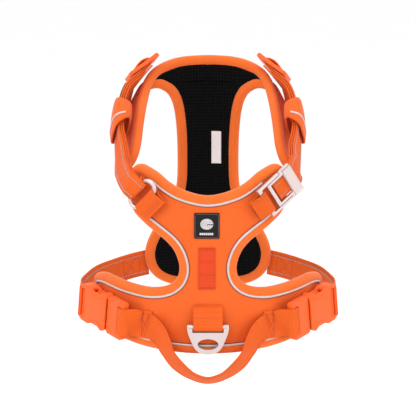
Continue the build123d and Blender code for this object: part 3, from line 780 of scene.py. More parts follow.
def chest_binding():
    """The binding round the whole chest panel, as one closed band."""
    side = np.array(PAD_SIDE, float) * np.array([-1, 1])
    flat = smooth_path(side, 120)
    pad_path, pad_out = chest_point(flat)
    normal = np.stack([tangents(flat)[:, 1], -tangents(flat)[:, 0]], axis=1)
    step, _ = chest_point(flat + normal)
    pad_in = unit(step - pad_path)
    # the corner between the strip and the arm, and the turn round the arm's tip
    corner = np.array([(-41.5, 72.2, 173.2)])
    corner_in, corner_out = unit([(0.6, 0.1, 0.75)]), unit([(-0.45, 0.9, 0)])
    first = int(np.argmax(arm_middle[:, 0] < -49))
    last = ARM_STEPS - 2
    tip = np.array([(-74.5, -24.5, 113.5), (-71.5, -27.5, 119)])
    tip_in = unit([(-0.25, 0.85, 0.45), (-0.2, 0.95, 0.2)])
    tip_out = np.repeat(arm_out[last:last + 1], 2, axis=0)
    path = np.vstack([
        pad_path, corner, lower_edge[first:last], tip, neck_edge[last - 1::-1],
    ])
    inward = np.vstack([
        pad_in, corner_in, -arm_across[first:last], tip_in, arm_across[last - 1::-1],
    ])
    out = np.vstack([pad_out, corner_out, arm_out[first:last], tip_out, arm_out[last - 1::-1]])
    path = np.vstack([path, mirrored(path[-2:0:-1])])
    inward = np.vstack([inward, mirrored(inward[-2:0:-1])])
    out = np.vstack([out, mirrored(out[-2:0:-1])])
    lengths = run_lengths(path)
    wanted = np.linspace(0, lengths[-1], 620, endpoint=False)
    even = [sample(data, lengths, wanted) for data in (path, inward, out)]
    kernel = np.ones(9) / 9
    smooth = [np.stack([
        np.convolve(np.concatenate([data[-4:, axis], data[:, axis], data[:4, axis]]), kernel, "valid")
        for axis in range(3)], axis=1) for data in even]
    along = tangents(smooth[0], closed=True)
    across = unit(smooth[1] - along * np.sum(smooth[1] * along, axis=1, keepdims=True))
    facing = unit(np.cross(along, across))
    facing *= np.sign(np.sum(facing * smooth[2], axis=1, keepdims=True))
    profile = BORDER_PROFILE * np.array([BINDING / BORDER, 1.0])
    points, faces, uv = sweep(smooth[0], across, facing, profile, closed=True)
    piece = make_object("chest_edge_binding", points, faces, BINDING_CLOTH, uv)
    return settle(piece, replaces=[
        "chest_neck_binding", "left_arm_binding", "right_arm_binding", "chest_pad_binding"])


chest_outer = arm_face(
    "chest_arm_cloth", FABRIC, 0, 1.3, ["chest_shell", "chest_foam"])
arm_face("chest_arm_lining", MESH_CLOTH, PANEL, 0.7, ["chest_lining"])
pad_panel("chest_pad_cloth", FABRIC, 0, 1.4)
pad_panel("chest_pad_lining", MESH_CLOTH, PANEL, 0.7)
chest_binding()

# ---------------------------------------------------------------- placing things by local axes


class Axes:
    """A local frame: x along, z out, y across, at an origin in millimetres."""

    def __init__(self, origin, along, out):
        self.origin = np.array(origin, float)
        self.z = unit(out)
        along = np.array(along, float)
        self.x = unit(along - self.z * (along @ self.z))
        self.y = np.cross(self.z, self.x)

    def at(self, x, y, z=0.0):
        """A point given by its local coordinates."""
        return self.origin + self.x * x + self.y * y + self.z * z

    def mirror(self):
        """The same frame on the other side of the YZ plane."""
        other = Axes((0, 0, 0), (1, 0, 0), (0, 0, 1))
        other.origin, other.x, other.z = mirrored(self.origin), mirrored(self.x), mirrored(self.z)
        other.y = mirrored(self.y)
        return other


def side_axes(axes, side):
    """The frame itself on the left, its mirror image on the right."""
    return axes if side == "left" else axes.mirror()


def on_side(points, side):
    """Points given on the left, mirrored for the right side."""
    return np.asarray(points, float) if side == "left" else mirrored(points)


def on_girth(degrees, height, out=0.0):
    """Point outside the girth ellipse on the left, angle measured from the middle of the back."""
    angle = math.radians(degrees)
    return (-(GIRTH_A + out) * math.sin(angle), -(GIRTH_B + out) * math.cos(angle), height)


def radial(point):
    """Outward direction of the girth ellipse at a point."""
    return unit([point[0] / GIRTH_A ** 2, point[1] / GIRTH_B ** 2, 0])


def folded_strap(name, path, across, width, thick):
    """Webbing that bends only about one fixed direction, with rounded turns between its points."""
    path = smooth_path(path, max(24, int(run_lengths(path)[-1] / 0.8)))
    along = tangents(path)
    across = np.repeat(unit(across)[None], len(path), axis=0)
    out = unit(np.cross(along, across))
    points, faces, uv = sweep(path, across, out, strap_profile(width, thick))
    return make_object(name, points, faces, WEB_CLOTH, uv)


def softened_copy(node, name, width, material, body="harness", segments=3):
    """A copy of a hard CAD part with its edges rounded over, which stands for that part."""
    mesh = bpy.data.objects[node].data.copy()
    mesh.name = name
    mesh.materials.clear()
    mesh.materials.append(material)
    work = bmesh.new()
    work.from_mesh(mesh)
    bmesh.ops.remove_doubles(work, verts=work.verts, dist=1e-5)
    bmesh.ops.dissolve_limit(
        work, angle_limit=math.radians(1.5), verts=work.verts, edges=work.edges)
    sharp = [edge for edge in work.edges
             if len(edge.link_faces) == 2 and edge.calc_face_angle(0) > math.radians(28)]
    bmesh.ops.bevel(
        work, geom=sharp, offset=width * MM, segments=segments, profile=0.5, affect="EDGES",
        clamp_overlap=True)
    bmesh.ops.triangulate(work, faces=[face for face in work.faces if len(face.verts) > 4])
    for face in work.faces:
        face.smooth = True
        face.material_index = 0
    work.to_mesh(mesh)
    work.free()
    mesh.set_sharp_from_angle(angle=math.radians(35))
    piece = bpy.data.objects.new(name, mesh)
    bpy.context.scene.collection.objects.link(piece)
    return settle(piece, body, [node])


# kinds of stitch: thread radius, length, gap and height of the thread's middle over the surface
GIRTH_STITCH = (0.62, 1.5, 1.5, 0.05)
NECK_STITCH = (0.58, 1.2, 1.3, 0.05)
LATCH_STITCH = (0.42, 1.2, 0.9, 0.05)
HANDLE_STITCH = (0.22, 1.7, 0.8, 0.05)
FOLD_STITCH = (0.22, 1.3, 0.5, 0.0)
TAB_STITCH = (0.24, 1.5, 0.5, 0.0)
STRIP_STITCH = (0.24, 1.1, 0.4, 0.0)
PATCH_STITCH = (0.16, 1.2, 0.7, 0.0)
EMBLEM_STITCH = (0.36, 1.5, 0.15, 0.0)
BOX_STITCH = (0.38, 1.5, 0.5)


def thread_rows(name, paths, outs, material, stitch, body="harness"):
    """Several rows of one kind of stitch in one object."""
    parts = []
    for path, out in zip(paths, outs):
        parts += stitch_row(path, out, *stitch)
    return settle(join_parts(name, parts, material), body)


def box_stitching(name, path, across, out, low, high, half, lift):
    """A sewn box with a cross, on the stretch of a strap between two shares of its path."""
    first, last = int(low * (len(path) - 1)), int(high * (len(path) - 1))
    steps = 14
    index = np.linspace(first, last, steps).astype(int)
    share = np.linspace(-1, 1, steps)[:, None]
    middle, side, face = path[index], across[index] * half, out[index]
    rows = [middle + side, middle - side, middle + side * share, middle - side * share]
    outs = [face] * 4
    for end in (0, -1):
        rows.append(middle[end] + side[end] * share)
        outs.append(np.repeat(face[end][None], steps, axis=0))
    thread_rows(name, rows, outs, ORANGE_THREAD, BOX_STITCH + (lift,))


SIDES = ("left", "right")

# ---------------------------------------------------------------- girth straps and wing webbing

BUCKLE = Axes((-91, -58.5, -4), (-0.657, 0.741, 0.139), (-0.748, -0.663, 0))
SOCKET_SLOT = 25.4
GIRTH_STRAP = [
    (70.0, 0.6, 12.8), (80.0, 0.6, 10.4), (95.0, 0.0, 6.2), (110.0, 1.0, 5.0), (125.0, 2.0, 3.6),
    (137.0, 4.0, 2.2), (147.0, 5.5, 1.7),
]
WING_Z = -11.0


def girth_strap(side):
    """The strap from the socket round the flank to the belly pad."""
    points = [BUCKLE.at(SOCKET_SLOT, 0)] + [np.array(on_girth(*station)) for station in GIRTH_STRAP]
    outs = [BUCKLE.z] + [radial(point) for point in points[1:]]
    points, outs = on_side(points, side), on_side(outs, side)
    strap, (path, across, out) = webbing(
        f"{side}_girth_webbing", points, outs, WEB_WIDE, 1.7, WEB_CLOTH)
    settle(strap, None, [f"{side}_girth_strap"])
    start = 12    # the threads begin clear of the socket
    rows, faces = [], []
    for row in (-8.3, 8.3):
        for layer in (1, -1):
            rows.append(path[start:] + across[start:] * row + out[start:] * 0.85 * layer)
            faces.append(out[start:] * layer)
    threads = thread_rows(f"{side}_girth_reflective_thread", rows, faces, REFLECTIVE_THREAD,
                          GIRTH_STITCH, None)
    box_stitching(f"{side}_girth_bar_tack", path, across, -out, 0.80, 0.93, 9.5, 0.85)
    for piece in (strap, threads):
        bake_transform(piece)


def wing_webbing(side):
    """The webbing from the plug's slot to its sewn box on the wing."""
    # round the plug's bar, as (along, out) of the buckle, and the way each point faces
    over_bar = ((-23.9, -2.2), (-24.2, 2.2), (-26.2, 4.4), (-29.2, 4.4), (-31.6, 1.8), (-33.4, -4.0))
    facing = ((1.0, 0.0), (0.9, 0.5), (0.35, 1.0), (-0.3, 1.0), (-0.9, 0.6), (-1.0, 0.3))
    points = [BUCKLE.at(x, 0, z) for x, z in over_bar]
    outs = [BUCKLE.x * x + BUCKLE.z * z for x, z in facing]
    on_wing = [on_girth(32.6, WING_Z, 3.0), on_girth(30.0, WING_Z, 2.3), on_girth(26.2, WING_Z, 2.1)]
    points += on_wing
    outs += [radial(point) for point in on_wing]
    points, outs = on_side(points, side), on_side(outs, side)
    strap, (path, across, out) = webbing(f"{side}_wing_strap", points, outs, WEB_WIDE, 1.8, WEB_CLOTH)
    settle(strap, replaces=[f"{side}_wing_webbing"])
    box_stitching(f"{side}_wing_box_stitch", path, across, out, 0.75, 0.98, 9.8, 1.0)


HANDLE_HALF = [
    (-51, -79.8, -11.2), (-46.5, -84.6, -13.2), (-42, -88.2, -17), (-38, -91.2, -23),
    (-34, -93.7, -31.5), (-26, -96, -41.5), (-14, -97.5, -50.5), (0, -98, -54.5),
]
HANDLE_OUT = [
    (-0.45, -0.89, 0), (-0.55, -0.83, -0.02), (-0.62, -0.76, -0.12), (-0.66, -0.68, -0.3),
    (-0.62, -0.6, -0.5), (-0.38, -0.64, -0.7), (-0.15, -0.52, -0.85), (0, -0.5, -0.86),
]


def handle_strap():
    """The grab handle, which leaves both sewn boxes and hangs in a loop."""
    points = np.vstack([HANDLE_HALF, mirrored(HANDLE_HALF[-2::-1])])
    outs = np.vstack([HANDLE_OUT, mirrored(HANDLE_OUT[-2::-1])])
    strap, (path, across, out) = webbing(
        "handle_webbing", points, outs, 22.0, 2.0, WEB_CLOTH, count=150)
    settle(strap, None, ["handle_strap"])
    # two stitch rows hold the doubled webbing together along its edges
    path, across, out = path[8:-8], across[8:-8], out[8:-8]
    rows = [path + across * edge + out * face for edge in (-9.3, 9.3) for face in (1, -1)]
    faces = [out * face for _ in (0, 1) for face in (1, -1)]
    threads = thread_rows("handle_edge_thread", rows, faces, ORANGE_THREAD, HANDLE_STITCH,
                          None)
    for piece in (strap, threads):
        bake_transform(piece)


for side in SIDES:
    girth_strap(side)
    wing_webbing(side)
handle_strap()

# ---------------------------------------------------------------- side release buckles


def bar_across(axes, x, z, half, radius):
    """A thin moulded bar across a buckle or slider."""
    return tube([axes.at(x, y, z) for y in np.linspace(-half, half, 9)], radius, sides=8)


def girth_buckle(side):
    """Socket, plug and the plug's two prongs, rounded over, with the moulded relief."""
    axes = side_axes(BUCKLE, side)
    top = 5.2    # where the relief lies on the socket's outer face
    softened_copy(f"{side}_buckle_socket", f"{side}_socket_shell", 1.1, PLASTIC, f"{side}_socket")
    relief = [bar_across(axes, along, top, 13.5, 0.7) for along in (22.4, 28.6)]
    for edge in (-1, 1):
        arc = [axes.at(-4.5 + 17 * t, edge * (14.2 - 3.2 * math.sin(math.pi * t)), top)
               for t in np.linspace(0, 1, 15)]
        relief.append(tube(arc, 0.5, sides=8))
    ribs = join_parts(f"{side}_socket_relief", relief, PLASTIC)
    settle(ribs, f"{side}_socket")
    softened_copy(f"{side}_buckle_plug", f"{side}_plug_frame", 0.9, PLASTIC)
    for height, sign in (("upper", -1), ("lower", 1)):
        prong = f"{side}_{height}_prong"
        softened_copy(f"{side}_buckle_{height}_prong", f"{prong}_arm", 0.7, PLASTIC, prong)
        grips = [tube([axes.at(x, sign * 15.9, z) for z in np.linspace(-1.9, 1.9, 5)], 0.45, sides=8)
                 for x in (1.6, 3.4, 5.2, 7.0)]
        settle(join_parts(f"{prong}_grip", grips, PLASTIC), prong)


for side in SIDES:
    girth_buckle(side)

# ---------------------------------------------------------------- leash ring, its tab, patch and strip

RING_AXIS_Y = -93.4
RING_AXIS_Z = -8.3


def leash_ring():
    """The D shaped leash ring and the webbing tab that holds it."""
    softened_copy("leash_ring", "leash_ring_plate", 0.75, METAL, "leash_ring", segments=4)
    bend = 3.3    # radius of the tab's turn round the ring's bar
    turn = np.radians(np.linspace(165, 375, 9))
    around = [(0, RING_AXIS_Y + bend * math.cos(t), RING_AXIS_Z + bend * math.sin(t)) for t in turn]
    front = [(0, -90.6, 9.4), (0, -91.3, 6.5), (0, -93.2, 2.0), (0, -95.6, -3.2)]
    back = [(0, -89.4, -3.5), (0, -89.0, 2), (0, -88.8, 9)]
    tab = folded_strap("leash_tab_webbing", front + around + back, (1, 0, 0), WEB_WIDE, 1.7)
    settle(tab, replaces=["leash_tab"])
    rows, outs = [], []
    for height, depth in ((8.2, -91.8), (4.4, -93.0), (-0.6, -95.4)):
        rows.append(np.array([(x, depth, height) for x in np.linspace(-11.5, 11.5, 9)]))
        outs.append(np.repeat([[0, -0.93, 0.36]], 9, axis=0))
    thread_rows("leash_tab_thread", rows, outs, ORANGE_THREAD, TAB_STITCH)


def rounded_rectangle(half_x, half_z, corner):
    """Outline of a rectangle with rounded corners, in steps of about 1.2 mm."""
    outline = []
    for quarter, (sx, sz) in enumerate(((1, 1), (-1, 1), (-1, -1), (1, -1))):
        for angle in np.linspace(0, math.pi / 2, 5):
            rotated = angle + quarter * math.pi / 2
            outline.append((sx * (half_x - corner) + corner * math.cos(rotated),
                            sz * (half_z - corner) + corner * math.sin(rotated)))
    outline = np.array(outline)
    steps = []
    for start, end in zip(outline, np.roll(outline, -1, axis=0)):
        count = max(1, int(np.linalg.norm(end - start) / 1.2))
        steps += [start + (end - start) * i / count for i in range(count)]
    return np.array(steps)


def sewn_patch(name, centre, size, corner, depth, dome, material, node, surface, seat=0.3):
    """A thin patch on a curved panel, slightly domed, with closed sides."""
    outline = rounded_rectangle(size[0] / 2, size[1] / 2, corner)
    flat, faces = flat_mesh(outline, 1.4)
    count = len(outline)
    rise = dome * (1 - np.exp(-outline_distance(flat, outline) / 1.0))
    top, _ = surface(flat + np.array(centre), -depth - rise)
    rim, _ = surface(outline + np.array(centre), seat)
    nearest = [int(np.argmin(np.linalg.norm(flat - place, axis=1))) for place in outline]
    sides = []
    for this in range(count):
        after = (this + 1) % count
        sides.append((nearest[this], len(top) + this, len(top) + after, nearest[after]))
    piece = make_object(
        name, np.vstack([top, rim]), faces + sides, material, uv=np.vstack([flat, outline]))
    return settle(piece, replaces=[node])


def saddle_surface(flat, depth):
    """Points on the saddle's outer face from (x, height)."""
    return back_point(np.stack([girth_arc(flat[:, 0]), flat[:, 1]], axis=1), depth)


def level_row(half, height, count):
    """A level row of points in the plane."""
    return np.stack([np.linspace(-half, half, count), np.full(count, height)], axis=1)


def rectangle_rows(half_x, half_z):
    """Four rows in the plane, along the sides of a rectangle."""
    corners = np.array([(-1, 1), (1, 1), (1, -1), (-1, -1), (-1, 1)])
    share = np.linspace(0, 1, 16)[:, None]
    return [(start * (1 - share) + end * share) * np.array([half_x, half_z])
            for start, end in zip(corners, corners[1:])]


def saddle_threads(name, rows, centre, lift, material, stitch):
    """Rows of stitches given in the plane, laid on the saddle about a centre."""
    laid = [saddle_surface(row + np.array(centre), -lift) for row in rows]
    thread_rows(name, [points for points, _ in laid], [out for _, out in laid],
                material, stitch)


def front_labels():
    """The black patch with a plain emblem, and the woven strip under it."""
    centre = (-1.0, 78.5)
    patch = sewn_patch("front_patch_cloth", centre, (21, 22), 1.0, 2.3, 0.4, LABEL_CLOTH,
                       "front_patch", saddle_surface)
    saddle_threads("front_patch_thread", rectangle_rows(9.6, 10.1), centre, 2.7, MARK_THREAD,
                   PATCH_STITCH)
    # the emblem is a plain filled disc with a bar under it
    turn = np.linspace(0, 2 * math.pi, 60)
    rows = [np.stack([radius * np.cos(turn) * 1.1, 1.6 + radius * np.sin(turn) * 0.95], axis=1)
            for radius in (4.6, 4.0, 3.4, 2.8, 2.2, 1.6, 1.0, 0.4)]
    rows += [level_row(6, height, 12) for height in (-6.2, -6.8, -7.4)]
    saddle_threads("front_patch_emblem", rows, centre, 2.75, PRINT_THREAD, EMBLEM_STITCH)
    centre = (-1.0, 41.5)
    strip = sewn_patch("light_strip_cloth", centre, (14, 36), 0.4, 2.3, 0.5, STRIP_CLOTH,
                       "light_loop_strip", saddle_surface)
    rows = [level_row(6.6, height + shift, 10)
            for height in (16.6, 5.6, -5.6, -16.6) for shift in (0, 0.9)]
    saddle_threads("light_strip_thread", rows, centre, 2.8, ORANGE_THREAD, STRIP_STITCH)


def care_label():
    """A blank white label sewn on the mesh lining of the chest."""
    label = sewn_patch("care_label_cloth", (9.0, 117.0), (10.5, 31), 0.4, -PANEL - 1.7, -0.3,
                       PRINT_CLOTH, "care_label", chest_point, seat=PANEL + 1.0)


def front_leash_loop():
    """The second leash loop, on the outer face of the chest."""
    path = [(0, 88.6, 193.6), (0, 93, 193), (0, 97, 189), (0, 98, 181), (0, 97, 173),
            (0, 93, 169), (0, 88.6, 168.4)]
    loop = folded_strap("front_loop_webbing", path, (1, 0, 0), WEB_WIDE, 1.8)
    settle(loop, replaces=["front_leash_loop"])


leash_ring()
front_labels()
care_label()
front_leash_loop()

# ---------------------------------------------------------------- neck straps, adjusters and keepers

NECK_PATH = [
    (-64.6, 49.7, 188.8), (-75.5, 32, 178), (-80, 16, 165), (-81, 2, 152), (-80, -12, 141.5),
    (-77.5, -28, 130.5),
]
NECK_OUT = [
    (-0.75, 0.1, 0.65), (-0.9, 0.1, 0.4), (-0.97, 0, 0.25), (-1, -0.1, 0.12),
    (-0.95, -0.2, 0.15), (-0.88, -0.3, 0.25),
]
ADJUSTER = Axes((-61, 57, 195.5), (0.74, 0.42, 0.52), (-0.62, 0.15, 0.77))
NECK_RING = Axes((-55.2, -82.2, 104.0), (0.632, -0.343, 0.695), (-0.477, -0.879, 0))
RING_END = [(-75.5, -45, 121.5), (-72.3, -63.5, 117.6)] + [
    tuple(NECK_RING.at(*place))
    for place in ((-2.5, 15.0, 3.6), (-0.5, 9.5, 5.0), (0, 4.6, 4.8), (0, 3.2, 3.2))]
RING_END_OUT = [(-0.8, -0.4, 0.35), (-0.72, -0.62, 0.25)] + [tuple(NECK_RING.z)] * 3 + [
    tuple(NECK_RING.z - 0.9 * NECK_RING.y)]
NECK_BUCKLE = Axes((60.5, -78.2, 107), (0.70, 0.426, 0.574), (0.52, -0.854, 0))
# the right strap is given on the left, like every pair
LATCH_SIDE_END = [(-76.5, -45, 126), (-75, -60, 123.5)] + [
    tuple(mirrored(NECK_BUCKLE.at(x, 0, -0.5))) for x in (18.5, 15.0)]
LATCH_SIDE_OUT = [(-0.78, -0.58, 0.15), (-0.62, -0.78, 0.08)] + [tuple(mirrored(NECK_BUCKLE.z))] * 2
NECK_RING_HALF_PITCH = 6.3    # from the ring's middle to the middle of each bar
BAR_SLEEVE = 3.1              # radius of the webbing's turn round a bar


def neck_strap(side, end, end_out, begin, finish):
    """The doubled neck strap with its reflective rows, from the adjuster to the ring or buckle."""
    points = on_side([ADJUSTER.at(3.0, 0, -1.4)] + NECK_PATH + end, side)
    outs = on_side([ADJUSTER.z] + NECK_OUT + end_out, side)
    front, (path, across, out) = webbing(
        f"{side}_neck_webbing", points, outs, WEB_NECK, 1.6, WEB_CLOTH, count=120)
    layers = [front]
    for layer, name in ((1, "return"), (2, "inner")):
        # the innermost layer stops short of the ring or buckle
        stop = len(points) - (0 if layer == 1 else 2)
        piece, _ = webbing(f"{side}_neck_{name}_webbing", points[:stop], outs[:stop],
                           WEB_NECK, 1.5, WEB_CLOTH, count=110, lift=-1.9 * layer)
        layers.append(piece)
    settle(front, None, [f"{side}_neck_strap"])
    for piece in layers[1:]:
        settle(piece, None)
    rows = [path[6:] + across[6:] * edge + out[6:] * 0.8 for edge in (-6.6, 6.6)]
    threads = thread_rows(f"{side}_neck_reflective_thread", rows, [out[6:]] * 2,
                          REFLECTIVE_THREAD, NECK_STITCH, None)
    begin, finish = tuple(np.array(begin) * MM), tuple(np.array(finish) * MM)
    for piece in layers + [threads]:
        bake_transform(piece)
    return path, across, out


def anchor_strap(side):
    """The short strap, sewn on the arm, that goes up into the adjuster."""
    points = [ADJUSTER.at(-9.0, 0, -2.6), ADJUSTER.at(-16.0, 0, -5.2), (-76.2, 42, 172),
              (-79.6, 31, 161), (-81, 20, 150)]
    outs = [ADJUSTER.z, ADJUSTER.z, (-0.88, 0.35, 0.25), (-0.92, 0.25, 0.2), (-0.96, 0.1, 0.15)]
    strap, _ = webbing(f"{side}_anchor_webbing", on_side(points, side), on_side(outs, side),
                       WEB_NECK, 1.6, WEB_CLOTH, lift=-3.6)
    settle(strap, replaces=[f"{side}_neck_anchor_strap"])


def adjuster(side):
    """The curved three bar slider."""
    body = f"{side}_adjuster"
    softened_copy(f"{side}_neck_adjuster", f"{side}_adjuster_frame", 0.9, PLASTIC, body)
    axes = side_axes(ADJUSTER, side)
    ridges = [bar_across(axes, x, 1.55, 10.5, 0.75) for x in (-14, 0, 14)]
    settle(join_parts(f"{side}_adjuster_ridge", ridges, PLASTIC), body)
    hump = ((-9.4, -0.6), (-8.2, 1.6), (-4.2, 3.4), (1.2, 4.0), (5.8, 3.0), (8.4, 1.0), (9.2, -0.6))
    loop = folded_strap(
        f"{side}_adjuster_webbing", [axes.at(x, 0, z) for x, z in hump], axes.y, WEB_NECK, 1.6)
    settle(loop, body)


def keeper(side, path, across, out):
    """The padded cloth sleeve that holds strap and arm together, with its reflective line."""
    stations, around = 15, 48
    lengths = run_lengths(path)
    start = lengths[int(np.argmin(np.abs(path[:, 2] - 163)))]    # the sleeve's end, by height
    turn = np.linspace(0, 2 * math.pi, around, endpoint=False)
    power = 0.62
    loop_x = 15.0 * np.sign(np.cos(turn)) * np.abs(np.cos(turn)) ** power
    loop_y = 8.4 * np.sign(np.sin(turn)) * np.abs(np.sin(turn)) ** power

    def at(length, x, y):
        place, side_way, outward = (sample(data, lengths, length) for data in (path, across, out))
        return place + side_way * x + outward * y

    def wall(shrink):
        rows = []
        for step in range(stations):
            share = step / (stations - 1)
            puff = 1.0 + 0.07 * math.sin(math.pi * share)
            row = []
            for x, y in zip(loop_x, loop_y):
                length = start + share * (25 + 7.0 * (y / 8.4)) - 2.0 * (y / 8.4) * (1 - share)
                thin = 1 - shrink / max(abs(x), abs(y), 4.0)
                row.append(at(length, x * puff * thin, -3.4 + y * puff * thin))
            rows.append(row)
        return np.array(rows)

    outer, inner = wall(0.0), wall(1.7)    # the sleeve's cloth is 1.7 thick
    rolled = (outer[:1] + inner[:1]) / 2 + (outer[:1] - outer[1:2]) * 0.35
    rolled_end = (outer[-1:] + inner[-1:]) / 2 + (outer[-1:] - outer[-2:-1]) * 0.35
    grid = np.concatenate([rolled, outer, rolled_end, inner[::-1]])
    faces = grid_faces(len(grid), around, closed_rows=True, closed_columns=True)
    spacing = np.linspace(0, 76, around)
    uv = np.stack(np.broadcast_arrays(
        spacing[None], (np.arange(len(grid)) * 1.6)[:, None]), axis=-1).reshape(-1, 2)
    sleeve = make_object(f"{side}_keeper_sleeve", grid.reshape(-1, 3), faces, FABRIC, uv=uv)
    settle(sleeve, replaces=[f"{side}_keeper"])
    row = outer[10]
    visible = [i for i in range(around) if loop_y[i] > -3.5]
    order = sorted(visible, key=lambda i: (turn[i] + 0.9) % (2 * math.pi))
    line = row[order]
    facing = unit(line - row.mean(axis=0))
    width = unit(outer[11][order] - outer[9][order])
    points, mesh_faces, _ = sweep(smooth_path(line + facing * 0.3, 60), smooth_path(width, 60),
                                  smooth_path(facing, 60), strap_profile(1.9, 0.7))
    tape = make_object(f"{side}_keeper_reflective_line", points, mesh_faces, REFLECTIVE)
    settle(tape, replaces=[f"{side}_keeper_tape"])


def bar_fold(name, bar_side, tail, width, body, node):
    """Webbing folded round one bar of the neck ring; the tail lies away from the ring."""
    bar = bar_side * NECK_RING_HALF_PITCH
    turn = np.radians(np.linspace(-100, 100, 9))
    around = [(bar - bar_side * BAR_SLEEVE * math.cos(t), -BAR_SLEEVE * math.sin(t)) for t in turn]
    outer = [(bar + bar_side * tail * share, level)
             for share, level in ((0.25, 2.9), (0.55, 1.0), (1.0, -1.2))]
    lower = [(bar + bar_side * tail * share, -3.0) for share in (1.0, 0.5, 0.2)]
    low_to_high = [NECK_RING.at(0, y, z) for y, z in lower]
    low_to_high += [NECK_RING.at(0, y, -z) for y, z in around]
    low_to_high += [NECK_RING.at(0, y, z) for y, z in outer]
    fold = folded_strap(name, low_to_high, NECK_RING.x, width, 1.5)
    settle(fold, body, [node])
    rows, outs = [], []
    for share in (0.6, 0.78):
        height = 1.0 + (share - 0.55) / 0.45 * -2.2 + 0.85
        rows.append(np.array([NECK_RING.at(x, bar + bar_side * tail * share, height)
                              for x in np.linspace(1 - width / 2, width / 2 - 1, 8)]))
        outs.append(np.repeat(NECK_RING.z[None], 8, axis=0))
    thread_rows(
        name + "_thread", rows, outs, ORANGE_THREAD, FOLD_STITCH, body)


def neck_ring():
    """The oval metal ring between the left strap and the saddle, and the webbing on both bars."""
    up = 1 if NECK_RING.y[2] > 0 else -1
    bar_fold("left_tab_webbing", -up, 12.5, 23.0, "harness", "left_neck_tab")
    bar_fold("left_strap_end", up, 5.5, 19.0, "neck_ring", "left_strap_fold")
    bpy.data.objects["neck_ring"].data.materials.clear()
    bpy.data.objects["neck_ring"].data.materials.append(METAL)


def neck_buckle():
    """The metal receiver and latch, and the tab that holds the receiver."""
    softened_copy("neck_buckle_receiver", "neck_receiver_frame", 0.6, METAL)
    softened_copy("neck_buckle_latch", "neck_latch_frame", 0.8, METAL, "neck_latch")
    cover_path = [NECK_BUCKLE.at(13.9, y, 2.1) for y in np.linspace(-13.6, 13.6, 15)]
    cover, _ = webbing("neck_latch_cover", cover_path, [NECK_BUCKLE.z] * 15, 9.4, 1.6, METAL)
    settle(cover, "neck_latch")
    bar = -16.5    # where the receiver's bar lies along the buckle
    turn = np.radians(np.linspace(-95, 95, 9))
    around = [(bar + 3.3 * math.cos(t), 3.0 * math.sin(t)) for t in turn]
    path = [(bar - 12.5, -2.9), (bar - 6, -3.0)] + around
    path += [(bar - 4, 2.5), (bar - 8, 0.4), (bar - 12.5, -1.2)]
    points = [NECK_BUCKLE.at(x, 0, z) for x, z in path]
    tab = folded_strap("right_tab_webbing", points, NECK_BUCKLE.y, WEB_NECK - 1, 1.5)
    settle(tab, replaces=["right_neck_tab"])
    inner = [NECK_BUCKLE.at(x, 0, z) for x, z in ((14.4, -1.2), (9, -1.4), (3, -1.2), (-3.5, -0.9))]
    lining, (path, across, out) = webbing(
        "right_latch_webbing", inner, [NECK_BUCKLE.z] * 4, WEB_NECK - 2.4, 1.5, WEB_CLOTH)
    settle(lining, "neck_latch")
    rows = [path + across * edge + out * 0.75 for edge in (-5.4, 5.4)]
    thread_rows("right_latch_thread", rows, [out] * 2, REFLECTIVE_THREAD, LATCH_STITCH,
                "neck_latch")


def side_label(path, across, out):
    """The small black label folded over the left strap above the keeper."""
    run = np.array([i for i in range(len(path)) if 165 < path[i][2] < 179])
    points = path[run] + out[run] * 1.3
    mesh_points, faces, uv = sweep(points, across[run], out[run], strap_profile(17.0, 0.7))
    label = make_object("side_label_cloth", mesh_points, faces, LABEL_CLOTH, uv)
    settle(label, replaces=["side_label"])


left_lines = neck_strap(
    "left", RING_END, RING_END_OUT, (-75.5, -45, 121.5), (-68.2, -75.2, 112.4))
right_lines = neck_strap(
    "right", LATCH_SIDE_END, LATCH_SIDE_OUT, (80, -12, 141.5), (75.9, -68, 120.2))
for side, lines in zip(SIDES, (left_lines, right_lines)):
    anchor_strap(side)
    adjuster(side)
    keeper(side, *lines)
side_label(*left_lines)
neck_ring()
neck_buckle()

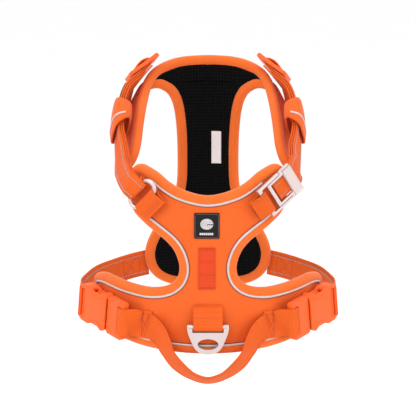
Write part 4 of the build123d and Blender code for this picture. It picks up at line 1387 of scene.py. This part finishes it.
# ---------------------------------------------------------------- stage and camera


def area_light(name, place, aim, size, power):
    """A square soft light that looks at aim."""
    data = bpy.data.lights.new(name, "AREA")
    data.size = size
    data.energy = power
    lamp = bpy.data.objects.new(name, data)
    lamp.location = place
    lamp.rotation_euler = (Vector(aim) - Vector(place)).to_track_quat("-Z", "Y").to_euler()
    bpy.context.scene.collection.objects.link(lamp)


def build_stage():
    """A plain pale floor, soft studio light and the camera."""
    scene = bpy.context.scene
    floor_z = CAD_BOX[0][2] - 0.22    # well below, as the harness is shown floating
    mesh = bpy.data.meshes.new("studio_floor")
    half = 40.0
    mesh.from_pydata([(-half, -half, floor_z), (half, -half, floor_z), (half, half, floor_z),
                      (-half, half, floor_z)], [], [(0, 1, 2, 3)])
    floor = bpy.data.objects.new("studio_floor", mesh)
    scene.collection.objects.link(floor)
    nodes = Nodes("Pale floor")
    nodes.color(nodes.mix(nodes.noise(3), (0.925, 0.925, 0.925), (0.945, 0.945, 0.945)))
    nodes.set(Roughness=0.9, Specular_IOR_Level=0.1)
    mesh.materials.append(nodes.material)
    world = bpy.data.worlds.new("studio")
    world.use_nodes = True
    world.node_tree.nodes["Background"].inputs["Color"].default_value = (1, 1, 1, 1)
    world.node_tree.nodes["Background"].inputs["Strength"].default_value = 1.06
    scene.world = world
    centre = (0, 0, 0.08)
    area_light("key", (-0.9, -1.3, 1.3), centre, 1.2, 11)
    area_light("fill", (1.3, -1.0, 0.6), centre, 1.4, 5)
    area_light("top", (0, 0.3, 1.6), centre, 1.6, 6)
    scene.view_settings.view_transform = "Standard"
    elevation = math.radians(12)
    distance = 1.25
    aim = Vector((0.0, 0.0177, 0.071))
    back = Vector((0, -math.cos(elevation), math.sin(elevation)))
    data = bpy.data.cameras.new("camera")
    data.sensor_width = 36.0
    data.lens = 118.2
    camera = bpy.data.objects.new("camera", data)
    camera.location = aim + back * distance
    camera.rotation_euler = (-back).to_track_quat("-Z", "Y").to_euler()
    scene.collection.objects.link(camera)
    scene.camera = camera


build_stage()
